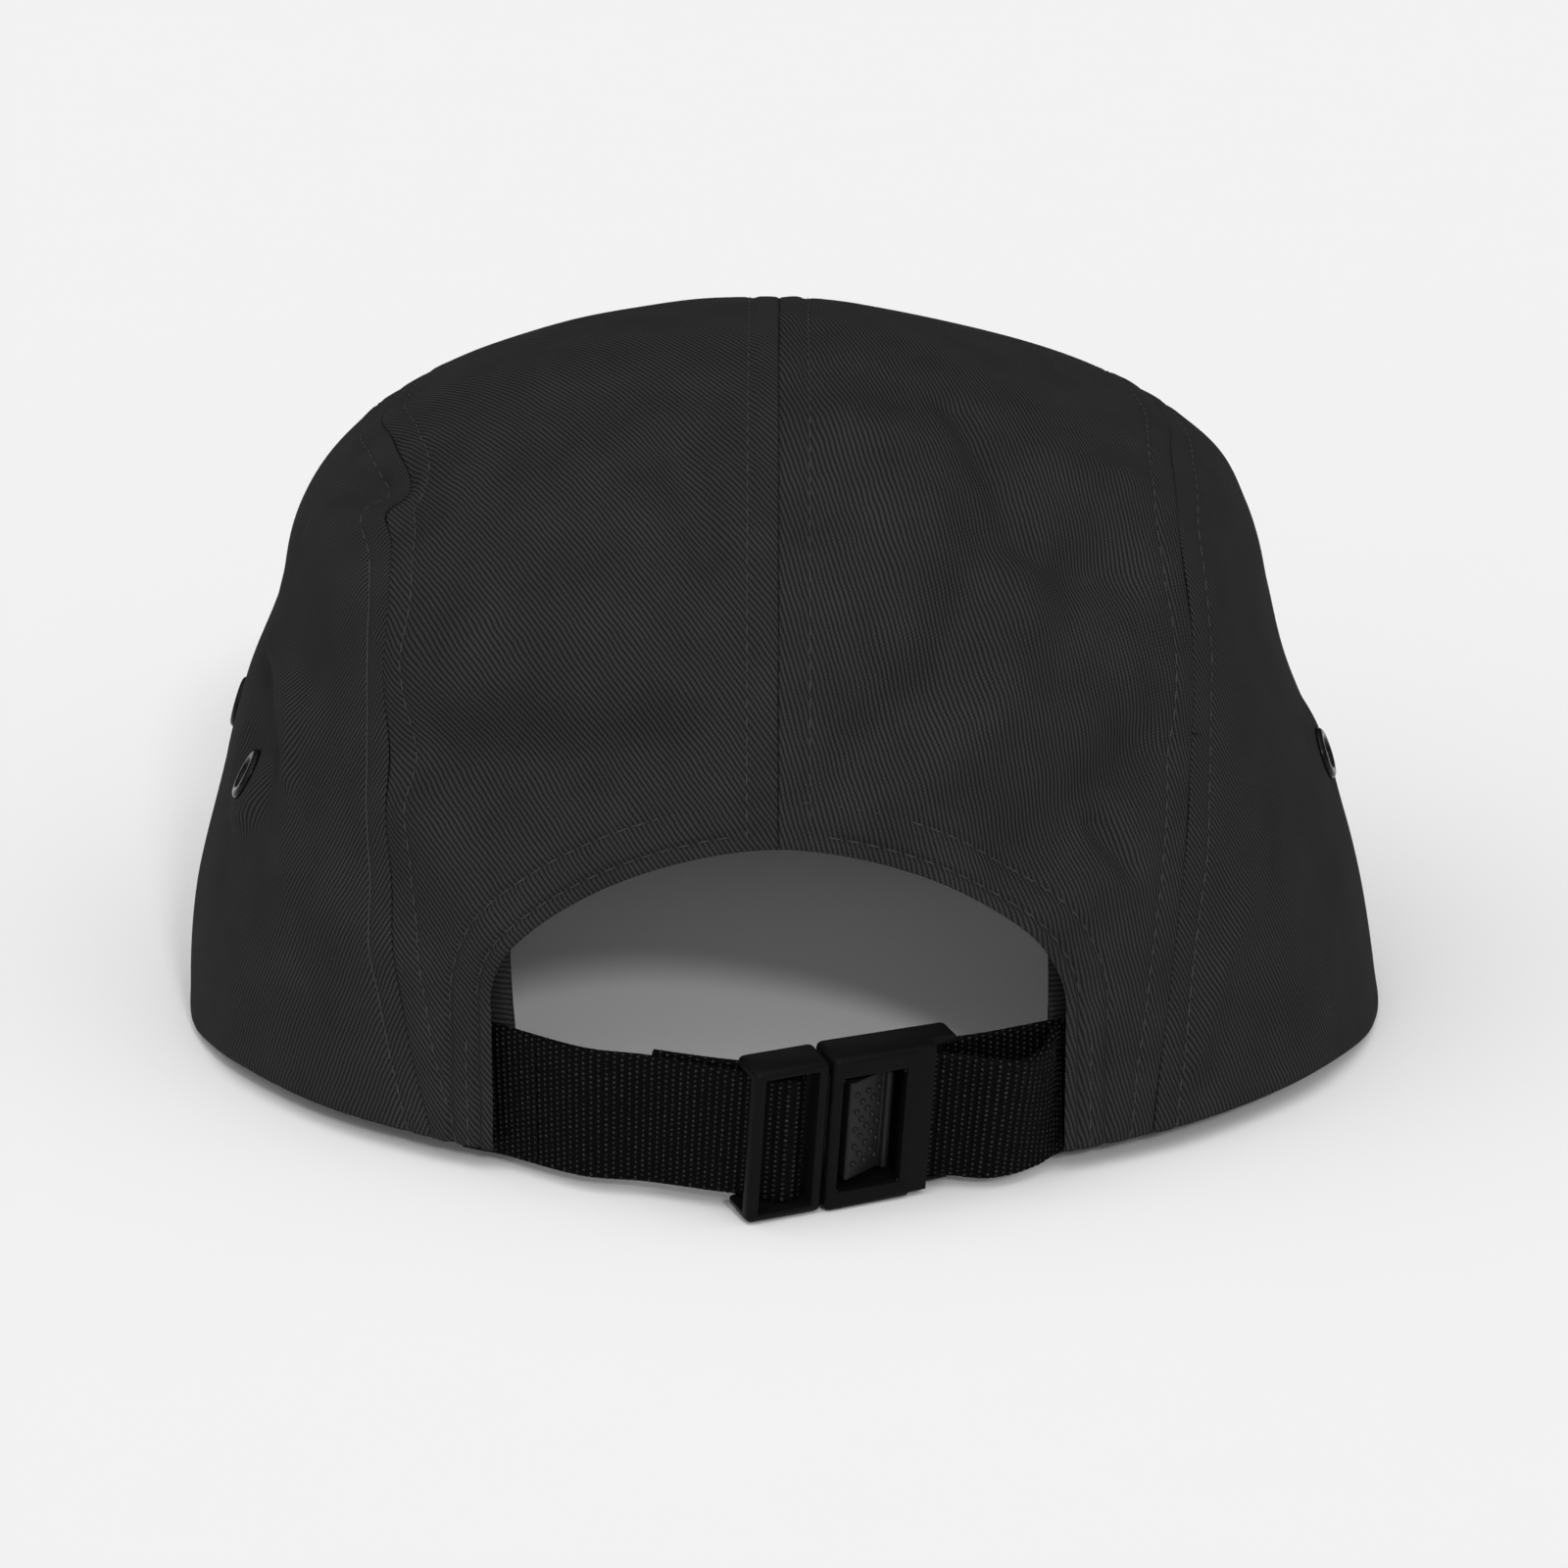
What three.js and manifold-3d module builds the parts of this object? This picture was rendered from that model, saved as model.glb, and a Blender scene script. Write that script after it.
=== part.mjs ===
// A five panel cap lying on a table: a soft cloth crown of five panels, a flat peak, a sweatband, four metal
// eyelets, and a webbing strap closed by a press buckle across the arch at the back.
// Millimetres, +Z up. The peak points to -Y and the buckle to +Y; the wearer's left is +X.
import * as THREE from "three";
import { mergeVertices } from "three/addons/utils/BufferGeometryUtils.js";
import Module from "manifold-3d";

const wasm = await Module();
wasm.setup();

// Crown, standing on the middle of its rim
const crownHalfWidth = 94.5;
const crownReach = 86;
const crownHeight = 112.2;
const clothThickness = 1.6;
const rimLift = 3.4;

// Arch over the strap
const archHalfWidth = 42.2;
const archHeight = 50.4;
const archLegHeight = 26;
const archSquareness = 1.78;

// Front panel
const frontFootAngle = 62;
const frontSeamOver = 118;
const frontSeamDroop = 6;

// Peak
const peakLength = 68;
const peakThickness = 3;
const peakFootAngle = 73;
const peakTipWidth = 2.5;
const peakSquareness = 2.5;
const peakEdgeRound = 0.8;

// Sweatband
const bandHeight = 29;
const bandThickness = 1.3;
const bandFootHeight = 1.5;

const bandEnd = { left: 63.5, leftSlant: 3.3, right: 61.5, rightSlant: 2 };

// Eyelets
const eyeletFlangeRadius = 4.2;
const eyeletBarrelRadius = 2.9;
const eyeletBoreRadius = 2.2;
const eyeletFlangeThickness = 0.9;
const eyeletHeight = 47;

// Webbing
const webWidth = 20.2;
const webThickness = 1.3;
const webDrop = 0.6;
const webTuck = 6;
const tuckSlack = 0.6;
const wallLean = -4;

// Buckle. Its own frame lies at the mouth of the socket: along the strap, out from the crown, and up.
const buckleAside = -5.8;
const buckleBack = 90.4;
const buckleYaw = 25.5;
const buckleLean = 8;
const buckleFront = 4;
const buckleRear = -3.2;
const buckleHalfHeight = 12.5;
const slotHalfHeight = 11;
const socketEnd = -21;
const socketFaceEnd = -16.4;
const socketDivider = -14.2;
const socketTaper = 0.3;
const cavityEnd = -12.6;
const cavityHalfHeight = 9.7;
const faceThickness = 1.5;
const windowStart = -1.5;
const windowEnd = -11.8;
const windowHalfHeight = 9.4;
const tongueStart = 0.35;
const tongueWall = 1.8;
const tongueEnd = 12.4;
const tongueFront = 3.6;
const tongueHalfHeight = 12.3;
const frameBar = 1.7;
const prongHalfHeight = 9;
const padHalfHeight = 8;
const webBarRadius = 1.1;
const webBarDepth = -0.5;
const tongueWebBar = 5.2;
const socketWebBar = -18.7;

// Clearances
const seamGap = 0.4;
const fitGap = 0.3;

// How full the crown is at each climb from the rim (0 degrees) to the top (90), as a share of an ellipsoid's reach.
const crownForm = [
  { climb: 0, left: 1.0, right: 1.02, back: 1.0, front: 1.0, squareness: 2.0 },
  { climb: 10, left: 1.0, right: 1.0, back: 1.0, front: 1.0, squareness: 2.05 },
  { climb: 20, left: 0.995, right: 0.99, back: 1.0, front: 1.0, squareness: 2.1 },
  { climb: 30, left: 1.02, right: 0.985, back: 1.0, front: 1.01, squareness: 2.2 },
  { climb: 38, left: 1.05, right: 1.035, back: 1.02, front: 1.03, squareness: 2.3 },
  { climb: 46, left: 1.15, right: 1.125, back: 1.05, front: 1.07, squareness: 2.4 },
  { climb: 54, left: 1.235, right: 1.21, back: 1.08, front: 1.12, squareness: 2.4 },
  { climb: 64, left: 1.3, right: 1.18, back: 1.11, front: 1.18, squareness: 2.3 },
  { climb: 76, left: 1.35, right: 0.9, back: 1.14, front: 1.24, squareness: 2.2 },
  { climb: 90, left: 1.4, right: 0.7, back: 1.16, front: 1.28, squareness: 2.1 },
];

// Distance of the side seams from the middle, as a share of the crown's half width, from the back rim (over 0
// degrees) across the top (90) towards the peak (180).
const sideSeam = [
  { over: 0, left: 0.535, right: 0.585 },
  { over: 20, left: 0.592, right: 0.614 },
  { over: 40, left: 0.61, right: 0.643 },
  { over: 65, left: 0.614, right: 0.642 },
  { over: 90, left: 0.652, right: 0.636 },
  { over: 130, left: 0.54, right: 0.53 },
];

// Soft folds: each runs between two points and stands out by its depth, or in where that is negative.
const folds = [
  { from: [56, 34, 92], to: [62, 28, 91], width: 6.5, depth: -1.6 },
  { from: [76, 18, 71], to: [72, 41, 59], width: 5, depth: 0.9 },
  { from: [72, 41, 59], to: [75, 43, 42], width: 6, depth: 0.6 },
  { from: [16, 28, 100], to: [11, 40, 95], width: 14, depth: -1.3 },
  { from: [-48, 36, 92], to: [-46, 46, 84], width: 10, depth: -1.2 },
];

// Eyelets by their azimuth from the wearer's left towards the back, each at its share of the eyelets' height
const eyelets = [
  { name: "left_back_eyelet", panel: "left_side_panel", azimuth: 19.2, rise: 0.985 },
  { name: "left_front_eyelet", panel: "left_side_panel", azimuth: -4.7, rise: 1 },
  { name: "right_back_eyelet", panel: "right_side_panel", azimuth: 175, rise: 0.915 },
  { name: "right_front_eyelet", panel: "right_side_panel", azimuth: 199, rise: 0.915 },
];

// Profile of the prong and its sloping thumb pad, along and out, in the buckle's frame
const padProfile = [
  { along: 0.5, out: -1.9 },
  { along: 0.5, out: -0.3 },
  { along: -1.9, out: -0.3 },
  { along: -1.9, out: 2.9 },
  { along: -2.3, out: 3.2 },
  { along: -10, out: 0.2 },
  { along: -10.3, out: 1.5 },
  { along: -11, out: 1.5 },
  { along: -11.5, out: 1.1 },
  { along: -11.5, out: -1.9 },
];

// Middle line of each strap in the buckle's frame, from the crown to its free end, with its lean outwards.
const leftStrapPath = [
  { along: 27.8, out: -20.6, lean: 1 },
  { along: 21.2, out: -14.4, lean: 4 },
  { along: 12.5, out: -4.1, lean: 8 },
  { along: 6.6, out: 1.0, lean: 8 },
  { along: 5.2, out: 1.55, lean: 8 },
  { along: 3.75, out: 0.95, lean: 8 },
  { along: 3.15, out: -0.5, lean: 8 },
  { along: 3.75, out: -1.95, lean: 8 },
  { along: 6.2, out: -4.0, lean: 8 },
  { along: 10.6, out: -7.1, lean: 7 },
  { along: 16.5, out: -12.9, lean: 5 },
  { along: 19.2, out: -15.9, lean: 4 },
];
const rightStrapPath = [
  { along: -34, out: 4.4, lean: 9 },
  { along: -29.5, out: 6.2, lean: 13 },
  { along: -25.5, out: 5.8, lean: 11 },
  { along: -22.2, out: 3.4, lean: 9 },
  { along: -18.7, out: 1.55, lean: 8 },
  { along: -17.25, out: 0.95, lean: 8 },
  { along: -16.65, out: -0.5, lean: 8 },
  { along: -17.25, out: -1.95, lean: 8 },
  { along: -18.7, out: -2.55, lean: 8 },
  { along: -22, out: -2.2, lean: 7 },
  { along: -27, out: -1.6, lean: 4 },
  { along: -32, out: -1.4, lean: 1 },
];

const centre = new THREE.Vector3();
const degrees = THREE.MathUtils.degToRad;
const { lerp, smoothstep } = THREE.MathUtils;

/** Smooth curves through the rows of a table: returns a function from the key to an object of columns. */
function tableCurves(rows, key) {
  const columns = Object.keys(rows[0]).filter((name) => name !== key);
  const curve = new THREE.CubicInterpolant(
    rows.map((row) => row[key]),
    rows.flatMap((row) => columns.map((name) => row[name])),
    columns.length,
  );
  return (at) => {
    const values = curve.evaluate(at);
    return Object.fromEntries(columns.map((name, i) => [name, values[i]]));
  };
}

const formAt = tableCurves(crownForm, "climb");
const seamAt = tableCurves(sideSeam, "over");

/** Above 1 outside the crown's plain outer face, and below 1 inside it. */
function crownLevel(point) {
  if (point.z >= crownHeight) return Infinity;
  const climb = Math.asin(Math.max(point.z, 0) / crownHeight);
  const form = formAt(THREE.MathUtils.radToDeg(climb));
  const across = crownHalfWidth * (point.x > 0 ? form.left : form.right);
  const along = crownReach * (point.y > 0 ? form.back : form.front);
  const shrink = Math.cos(climb);
  return (
    Math.abs(point.x / (across * shrink)) ** form.squareness +
    Math.abs(point.y / (along * shrink)) ** form.squareness
  );
}

/** Where a ray from inside the crown meets its plain outer face. */
function castToCrown(origin, direction) {
  let near = 0;
  let far = crownHalfWidth + crownReach + crownHeight;
  const probe = new THREE.Vector3();
  for (let step = 0; step < 40; step++) {
    const middle = (near + far) / 2;
    probe.copy(origin).addScaledVector(direction, middle);
    if (crownLevel(probe) < 1) near = middle;
    else far = middle;
  }
  return probe.copy(origin).addScaledVector(direction, near);
}

/** How far the folds lift the cloth at a point. */
function foldLift(point) {
  const nearest = new THREE.Vector3();
  return folds.reduce((lift, fold) => {
    const line = new THREE.Line3(new THREE.Vector3(...fold.from), new THREE.Vector3(...fold.to));
    const away = line.closestPointToPoint(point, true, nearest).distanceTo(point);
    return lift + fold.depth * Math.exp(-((away / fold.width) ** 2));
  }, 0);
}

/** Point and outward normal of the crown's outer face along a ray. */
function crownFace(origin, direction) {
  const probeTurn = 0.01;
  const across = new THREE.Vector3(direction.y, -direction.x, 0);
  if (across.lengthSq() < 1e-6) across.set(1, 0, 0);
  across.normalize();
  const along = new THREE.Vector3().crossVectors(direction, across);
  const beside = (axis, sign) =>
    castToCrown(origin, direction.clone().addScaledVector(axis, sign * probeTurn).normalize());
  const acrossStep = beside(across, 1).sub(beside(across, -1));
  const alongStep = beside(along, 1).sub(beside(along, -1));
  const normal = acrossStep.cross(alongStep).normalize();
  if (normal.dot(direction) < 0) normal.negate();
  const point = castToCrown(origin, direction);
  return { point: point.addScaledVector(normal, foldLift(point)), normal };
}

/** Unit vector in plan: 0 degrees is the wearer's left, 90 the back, -90 the front. */
function planDirection(azimuth) {
  return new THREE.Vector3(Math.cos(degrees(azimuth)), Math.sin(degrees(azimuth)), 0);
}

/** Face of the crown's wall at one azimuth and height. */
function wallFace(azimuth, height) {
  return crownFace(new THREE.Vector3(0, 0, height), planDirection(azimuth));
}

/** Height of the rim's edge: it lifts a little at the back. */
function rimHeight(azimuth) {
  return rimLift * smoothstep(Math.sin(degrees(azimuth)), 0.05, 0.5);
}

/** Point on the rim's outer edge. */
function rimPoint(azimuth) {
  return castToCrown(new THREE.Vector3(0, 0, rimHeight(azimuth)), planDirection(azimuth));
}

/** Point of the crown's outer face at a distance aside, over the top by an angle from the back. */
function overPoint(aside, over) {
  const direction = new THREE.Vector3(0, Math.cos(degrees(over)), Math.sin(degrees(over)));
  return castToCrown(new THREE.Vector3(aside, 0, 0), direction);
}

/** Point on the back wall straight behind a place in the middle upright plane. */
function backPoint(aside, height) {
  return castToCrown(new THREE.Vector3(aside, 0, height), new THREE.Vector3(0, 1, 0));
}

/** A curve through points that a function gives for shares from 0 to 1. */
function curveOf(pointAt, steps = 12) {
  return new THREE.CatmullRomCurve3(Array.from({ length: steps + 1 }, (_, i) => pointAt(i / steps)));
}

/** Runs along the curves one after another; knots are the shares at which one ends and the next begins. */
function joined(curves, knots = []) {
  const ends = [0, ...knots, 1];
  return (share) => {
    const i = Math.min(ends.findLastIndex((end) => end <= share), curves.length - 1);
    return curves[i].getPointAt((share - ends[i]) / (ends[i + 1] - ends[i]));
  };
}

/** Azimuth of a point in plan, in degrees. */
function azimuthOf(point) {
  return THREE.MathUtils.radToDeg(Math.atan2(point.y, point.x));
}

/** Offset of a side seam from the middle; side is 1 for the wearer's left and -1 for the right. */
function seamOffset(side, over) {
  const shares = seamAt(over);
  return side * crownHalfWidth * (side > 0 ? shares.left : shares.right);
}

/** Point on a side seam. */
function sideSeamPoint(side, over) {
  return overPoint(seamOffset(side, over), over);
}

/** Curve along a side seam between two over angles. */
function seamCurve(side, from, to) {
  return curveOf((share) => sideSeamPoint(side, lerp(from, to, share)));
}

/** Curve along the rim between two azimuths. */
function rimCurve(from, to) {
  return curveOf((share) => rimPoint(lerp(from, to, share)));
}

const cornerOver = frontSeamOver + frontSeamDroop;

/** Point on the seam between the front panel and the back panels, at a share of the way to a side. */
function frontSeamPoint(share) {
  const corner = Math.abs(seamOffset(Math.sign(share) || 1, cornerOver));
  return overPoint(share * corner, frontSeamOver + frontSeamDroop * share * share);
}

/** Azimuth of the front panel's foot on one side. */
function frontFootAzimuth(side) {
  return -90 + side * frontFootAngle;
}

/** Curve up the front panel's side edge, from the rim to its top corner. */
function frontEdge(side) {
  const foot = rimPoint(frontFootAzimuth(side)).normalize();
  const corner = sideSeamPoint(side, cornerOver).normalize();
  return curveOf((share) => castToCrown(centre, foot.clone().lerp(corner, share).normalize()));
}

/** Direction from the crown's centre to each place of a patch between four edges. */
function patchBetween({ bottom, top, start, end }) {
  const corners = [bottom(0), bottom(1), top(0), top(1)];
  return (u, v) => {
    const point = bottom(u).multiplyScalar(1 - v).addScaledVector(top(u), v);
    point.addScaledVector(start(v), 1 - u).addScaledVector(end(v), u);
    point.addScaledVector(corners[0], -(1 - u) * (1 - v)).addScaledVector(corners[1], -u * (1 - v));
    point.addScaledVector(corners[2], -(1 - u) * v).addScaledVector(corners[3], -u * v);
    return point.normalize();
  };
}

/** Closed solid of a sheet: faceAt(u, v) gives its outer face, and it is as thick as said, inwards. */
function thickSheet(columns, rows, thickness, faceAt) {
  const positions = [];
  const index = [];
  const faces = [];
  for (let j = 0; j <= rows; j++)
    for (let i = 0; i <= columns; i++) faces.push(faceAt(i / columns, j / rows));
  for (const depth of [0, thickness])
    for (const face of faces) positions.push(...face.point.clone().addScaledVector(face.normal, -depth));
  const outer = (i, j) => j * (columns + 1) + i;
  const inner = (i, j) => faces.length + outer(i, j);
  const quad = (a, b, c, d) => index.push(a, b, c, a, c, d);
  for (let j = 0; j < rows; j++)
    for (let i = 0; i < columns; i++) {
      quad(outer(i, j), outer(i + 1, j), outer(i + 1, j + 1), outer(i, j + 1));
      quad(inner(i, j), inner(i, j + 1), inner(i + 1, j + 1), inner(i + 1, j));
    }
  for (let i = 0; i < columns; i++) {
    quad(inner(i, 0), inner(i + 1, 0), outer(i + 1, 0), outer(i, 0));
    quad(outer(i, rows), outer(i + 1, rows), inner(i + 1, rows), inner(i, rows));
  }
  for (let j = 0; j < rows; j++) {
    quad(outer(0, j), outer(0, j + 1), inner(0, j + 1), inner(0, j));
    quad(inner(columns, j), inner(columns, j + 1), outer(columns, j + 1), outer(columns, j));
  }
  const geometry = new THREE.BufferGeometry();
  geometry.setAttribute("position", new THREE.Float32BufferAttribute(positions, 3));
  geometry.setIndex(index);
  return facingOut(geometry);
}

/** Turns a closed geometry's faces round if they point inwards. */
function facingOut(geometry) {
  const at = geometry.attributes.position;
  const corners = geometry.index.array;
  const [a, b, c] = [new THREE.Vector3(), new THREE.Vector3(), new THREE.Vector3()];
  let volume = 0;
  for (let i = 0; i < corners.length; i += 3) {
    a.fromBufferAttribute(at, corners[i]);
    b.fromBufferAttribute(at, corners[i + 1]);
    c.fromBufferAttribute(at, corners[i + 2]);
    volume += a.dot(b.cross(c));
  }
  if (volume < 0)
    for (let i = 0; i < corners.length; i += 3)
      [corners[i + 1], corners[i + 2]] = [corners[i + 2], corners[i + 1]];
  geometry.computeVertexNormals();
  return geometry;
}

/** Geometry as a solid that can be joined and cut. */
function solidOf(geometry) {
  const bare = geometry.clone();
  bare.deleteAttribute("normal");
  bare.deleteAttribute("uv");
  const merged = mergeVertices(bare, 1e-4);
  return new wasm.Manifold(
    new wasm.Mesh({
      numProp: 3,
      vertProperties: new Float32Array(merged.attributes.position.array),
      triVerts: new Uint32Array(merged.index.array),
    }),
  );
}

/** All bodies joined into one geometry, less the cutters. */
function carve(bodies, cutters = []) {
  const whole = bodies.map(solidOf).reduce((sum, solid) => sum.add(solid));
  const mesh = cutters.map(solidOf).reduce((left, cutter) => left.subtract(cutter), whole).getMesh();
  const geometry = new THREE.BufferGeometry();
  geometry.setAttribute("position", new THREE.BufferAttribute(new Float32Array(mesh.vertProperties), 3));
  geometry.setIndex(new THREE.BufferAttribute(new Uint32Array(mesh.triVerts), 1));
  geometry.computeVertexNormals();
  return geometry;
}

const twill = new THREE.MeshStandardMaterial({ color: 0x252525, roughness: 0.92, metalness: 0 });
const bandCloth = new THREE.MeshStandardMaterial({ color: 0x2b2b2b, roughness: 0.95, metalness: 0 });
const webbing = new THREE.MeshStandardMaterial({ color: 0x0c0b0d, roughness: 0.7, metalness: 0 });
const plastic = new THREE.MeshStandardMaterial({ color: 0x141414, roughness: 0.42, metalness: 0 });
const blackMetal = new THREE.MeshStandardMaterial({ color: 0x1a1b1c, roughness: 0.22, metalness: 0.9 });

const cap = new THREE.Group();

/** Adds a named mesh to the cap, moved into place where a matrix is given. */
function addPiece(name, geometry, material, placed = new THREE.Matrix4()) {
  const mesh = new THREE.Mesh(geometry, material);
  mesh.name = name;
  mesh.applyMatrix4(placed);
  cap.add(mesh);
}

/** Matrix that stands a lathe's axis on the crown's wall, pointing out, at an eyelet. */
function eyeletPlace({ azimuth, rise }) {
  const { point, normal } = wallFace(azimuth, eyeletHeight * rise);
  const turn = new THREE.Quaternion().setFromUnitVectors(new THREE.Vector3(0, 1, 0), normal);
  return new THREE.Matrix4().compose(point, turn, new THREE.Vector3(1, 1, 1));
}

/** Eyelet: two flanges on a barrel, one turned profile. */
function eyeletGeometry() {
  const outerFoot = fitGap;
  const innerFoot = -clothThickness - 2 * fitGap;
  const round = eyeletFlangeThickness * 0.4;
  const profile = [
    [eyeletBoreRadius, innerFoot - eyeletFlangeThickness],
    [eyeletFlangeRadius - round, innerFoot - eyeletFlangeThickness],
    [eyeletFlangeRadius, innerFoot - eyeletFlangeThickness + round],
    [eyeletFlangeRadius, innerFoot],
    [eyeletBarrelRadius, innerFoot],
    [eyeletBarrelRadius, outerFoot],
    [eyeletFlangeRadius, outerFoot],
    [eyeletFlangeRadius, outerFoot + eyeletFlangeThickness - round],
    [eyeletFlangeRadius - round, outerFoot + eyeletFlangeThickness],
    [eyeletBoreRadius + round, outerFoot + eyeletFlangeThickness],
    [eyeletBoreRadius, outerFoot + eyeletFlangeThickness - round],
  ];
  profile.push(profile[0]);
  const lathe = new THREE.LatheGeometry(profile.map(([radius, height]) => new THREE.Vector2(radius, height)), 20);
  lathe.deleteAttribute("uv");
  lathe.deleteAttribute("normal");
  return facingOut(mergeVertices(lathe, 1e-4));
}

/** Solid of one crown panel between its edges, drawn back from its seams by half the gap. */
function panelGeometry(edges, columns, rows, name) {
  const patch = patchBetween(edges);
  const sheet = thickSheet(columns, rows, clothThickness, (u, v) => {
    const insetU = seamGap / 2 / edges.start(v).distanceTo(edges.end(v));
    const insetV = seamGap / 2 / edges.bottom(u).distanceTo(edges.top(u));
    return crownFace(centre, patch(lerp(insetU, 1 - insetU, u), lerp(0, 1 - insetV, v)));
  });
  const holes = eyelets
    .filter(({ panel }) => panel === name)
    .map((eyelet) =>
      new THREE.CylinderGeometry(eyeletBarrelRadius + fitGap, eyeletBarrelRadius + fitGap, 8, 20).applyMatrix4(
        eyeletPlace(eyelet),
      ),
    );
  return holes.length ? carve([sheet], holes) : sheet;
}

/** Edges of the panel that runs from the back rim over the top, on one side of the middle seam. */
function backPanelEdges(side) {
  const legFoot = backPoint(side * archHalfWidth, rimLift);
  const leg = curveOf((share) => backPoint(side * archHalfWidth, lerp(rimLift, archLegHeight, share)));
  const arch = curveOf((share) => {
    const angle = degrees(90 * share);
    const rise = (archHeight - archLegHeight) * Math.sin(angle) ** (2 / archSquareness);
    return backPoint(side * archHalfWidth * Math.cos(angle) ** (2 / archSquareness), archLegHeight + rise);
  });
  const archTop = arch.getPoint(1);
  const archOver = THREE.MathUtils.radToDeg(Math.atan2(archTop.z, archTop.y));
  const middle = curveOf((share) => overPoint(0, lerp(archOver, frontSeamOver, share)), 20);
  const rim = rimCurve(azimuthOf(legFoot), azimuthOf(sideSeamPoint(side, 0)));
  const top = curveOf((share) => frontSeamPoint(side * share));
  const knots = [1 / 6, 1 / 2];
  return {
    start: joined([leg, arch, middle], knots),
    end: joined([seamCurve(side, 3, 14), seamCurve(side, 14, 40), seamCurve(side, 40, cornerOver)], knots),
    bottom: joined([rim]),
    top: joined([top]),
  };
}

/** Edges of a side panel: the rim, the front panel's edge, and the side seam in two runs. */
function sidePanelEdges(side) {
  const seamFoot = azimuthOf(sideSeamPoint(side, 0));
  const shoulderOver = 50;
  return {
    start: joined([frontEdge(side)]),
    end: joined([seamCurve(side, 3, shoulderOver)]),
    bottom: joined([rimCurve(frontFootAzimuth(side), side > 0 ? seamFoot : seamFoot - 360)]),
    top: joined([seamCurve(side, cornerOver, shoulderOver)]),
  };
}

/** Edges of the front panel. */
function frontPanelEdges() {
  return {
    start: joined([frontEdge(1)]),
    end: joined([frontEdge(-1)]),
    bottom: joined([rimCurve(frontFootAzimuth(1), frontFootAzimuth(-1))]),
    top: joined([curveOf((share) => frontSeamPoint(1 - 2 * share), 24)]),
  };
}

/** Flat peak with its inner edge along the crown's foot; its outline is drawn inside the rounding of its edge. */
function peakGeometry() {
  const clear = fitGap + peakEdgeRound;
  const alongRim = (azimuth, away) => {
    const point = castToCrown(centre, planDirection(azimuth));
    return point.setLength(point.length() + away);
  };
  const rimAngles = Array.from({ length: 25 }, (_, i) => lerp(peakFootAngle, -peakFootAngle, i / 24) - 90);
  const inner = rimAngles.map((azimuth) => alongRim(azimuth, clear));
  const tip = alongRim(rimAngles[0], clear + peakTipWidth);
  const round = (value) => Math.sign(value) * Math.abs(value) ** (2 / peakSquareness);
  const outer = Array.from({ length: 37 }, (_, i) => {
    const angle = degrees(180 - 5 * i);
    const reach = crownReach + peakLength - peakEdgeRound + tip.y;
    return new THREE.Vector2(tip.x * round(Math.cos(angle)), tip.y - reach * round(Math.sin(angle)));
  });
  const outline = new THREE.Shape([...inner.map(({ x, y }) => new THREE.Vector2(x, y)), ...outer]);
  return new THREE.ExtrudeGeometry(outline, {
    depth: peakThickness - 2 * peakEdgeRound,
    bevelThickness: peakEdgeRound,
    bevelSize: peakEdgeRound,
    bevelSegments: 1,
  }).translate(0, 0, peakEdgeRound);
}

/** Sweatband: a band inside the rim, open at the arch, standing further in where the straps are tucked behind it. */
function bandGeometry() {
  return thickSheet(48, 2, bandThickness, (u, v) => {
    const leftEnd = bandEnd.left - bandEnd.leftSlant * v;
    const azimuth = lerp(leftEnd, bandEnd.rightSlant * v - 180 - bandEnd.right, u);
    const height = rimHeight(azimuth) + bandFootHeight + bandHeight * v;
    const { point, normal } = wallFace(azimuth, height);
    const towardsArch = smoothstep(Math.sin(degrees(azimuth)), 0.5, 0.78);
    const layers = point.x > 0 ? 1 : 2;
    const tuck = 2 * tuckSlack + layers * (webThickness + fitGap);
    point.addScaledVector(normal, -clothThickness - 2 * fitGap - tuck * towardsArch);
    return { point, normal };
  });
}

const buckleFrame = new THREE.Matrix4()
  .makeRotationZ(degrees(buckleYaw))
  .multiply(new THREE.Matrix4().makeRotationX(-degrees(buckleLean)));
const buckleCentreHeight =
  buckleHalfHeight * Math.cos(degrees(buckleLean)) + buckleFront * Math.sin(degrees(buckleLean));
buckleFrame.setPosition(buckleAside, buckleBack, buckleCentreHeight);

/** A point of the crown's plan in the buckle's frame, before its lean. */
function inBucklePlan(point) {
  const yaw = degrees(buckleYaw);
  const [x, y] = [point.x - buckleAside, point.y - buckleBack];
  return { along: x * Math.cos(yaw) + y * Math.sin(yaw), out: y * Math.cos(yaw) - x * Math.sin(yaw) };
}

/** Places inside the crown's wall where a strap layer is tucked, from the deepest to the arch's edge. */
function tuckPath(side, layer) {
  const edge = azimuthOf(backPoint(side * archHalfWidth, archLegHeight));
  const middle = new THREE.Vector3(0, 0, buckleCentreHeight);
  return [1, 0.5, 0].map((share) => {
    const azimuth = edge - side * THREE.MathUtils.radToDeg((share * webTuck) / crownReach);
    const { point, normal } = crownFace(middle, planDirection(azimuth));
    const depth = clothThickness + fitGap + tuckSlack + webThickness / 2 + layer * (webThickness + fitGap);
    point.addScaledVector(normal, -depth);
    return { ...inBucklePlan(point), lean: wallLean };
  });
}

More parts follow.
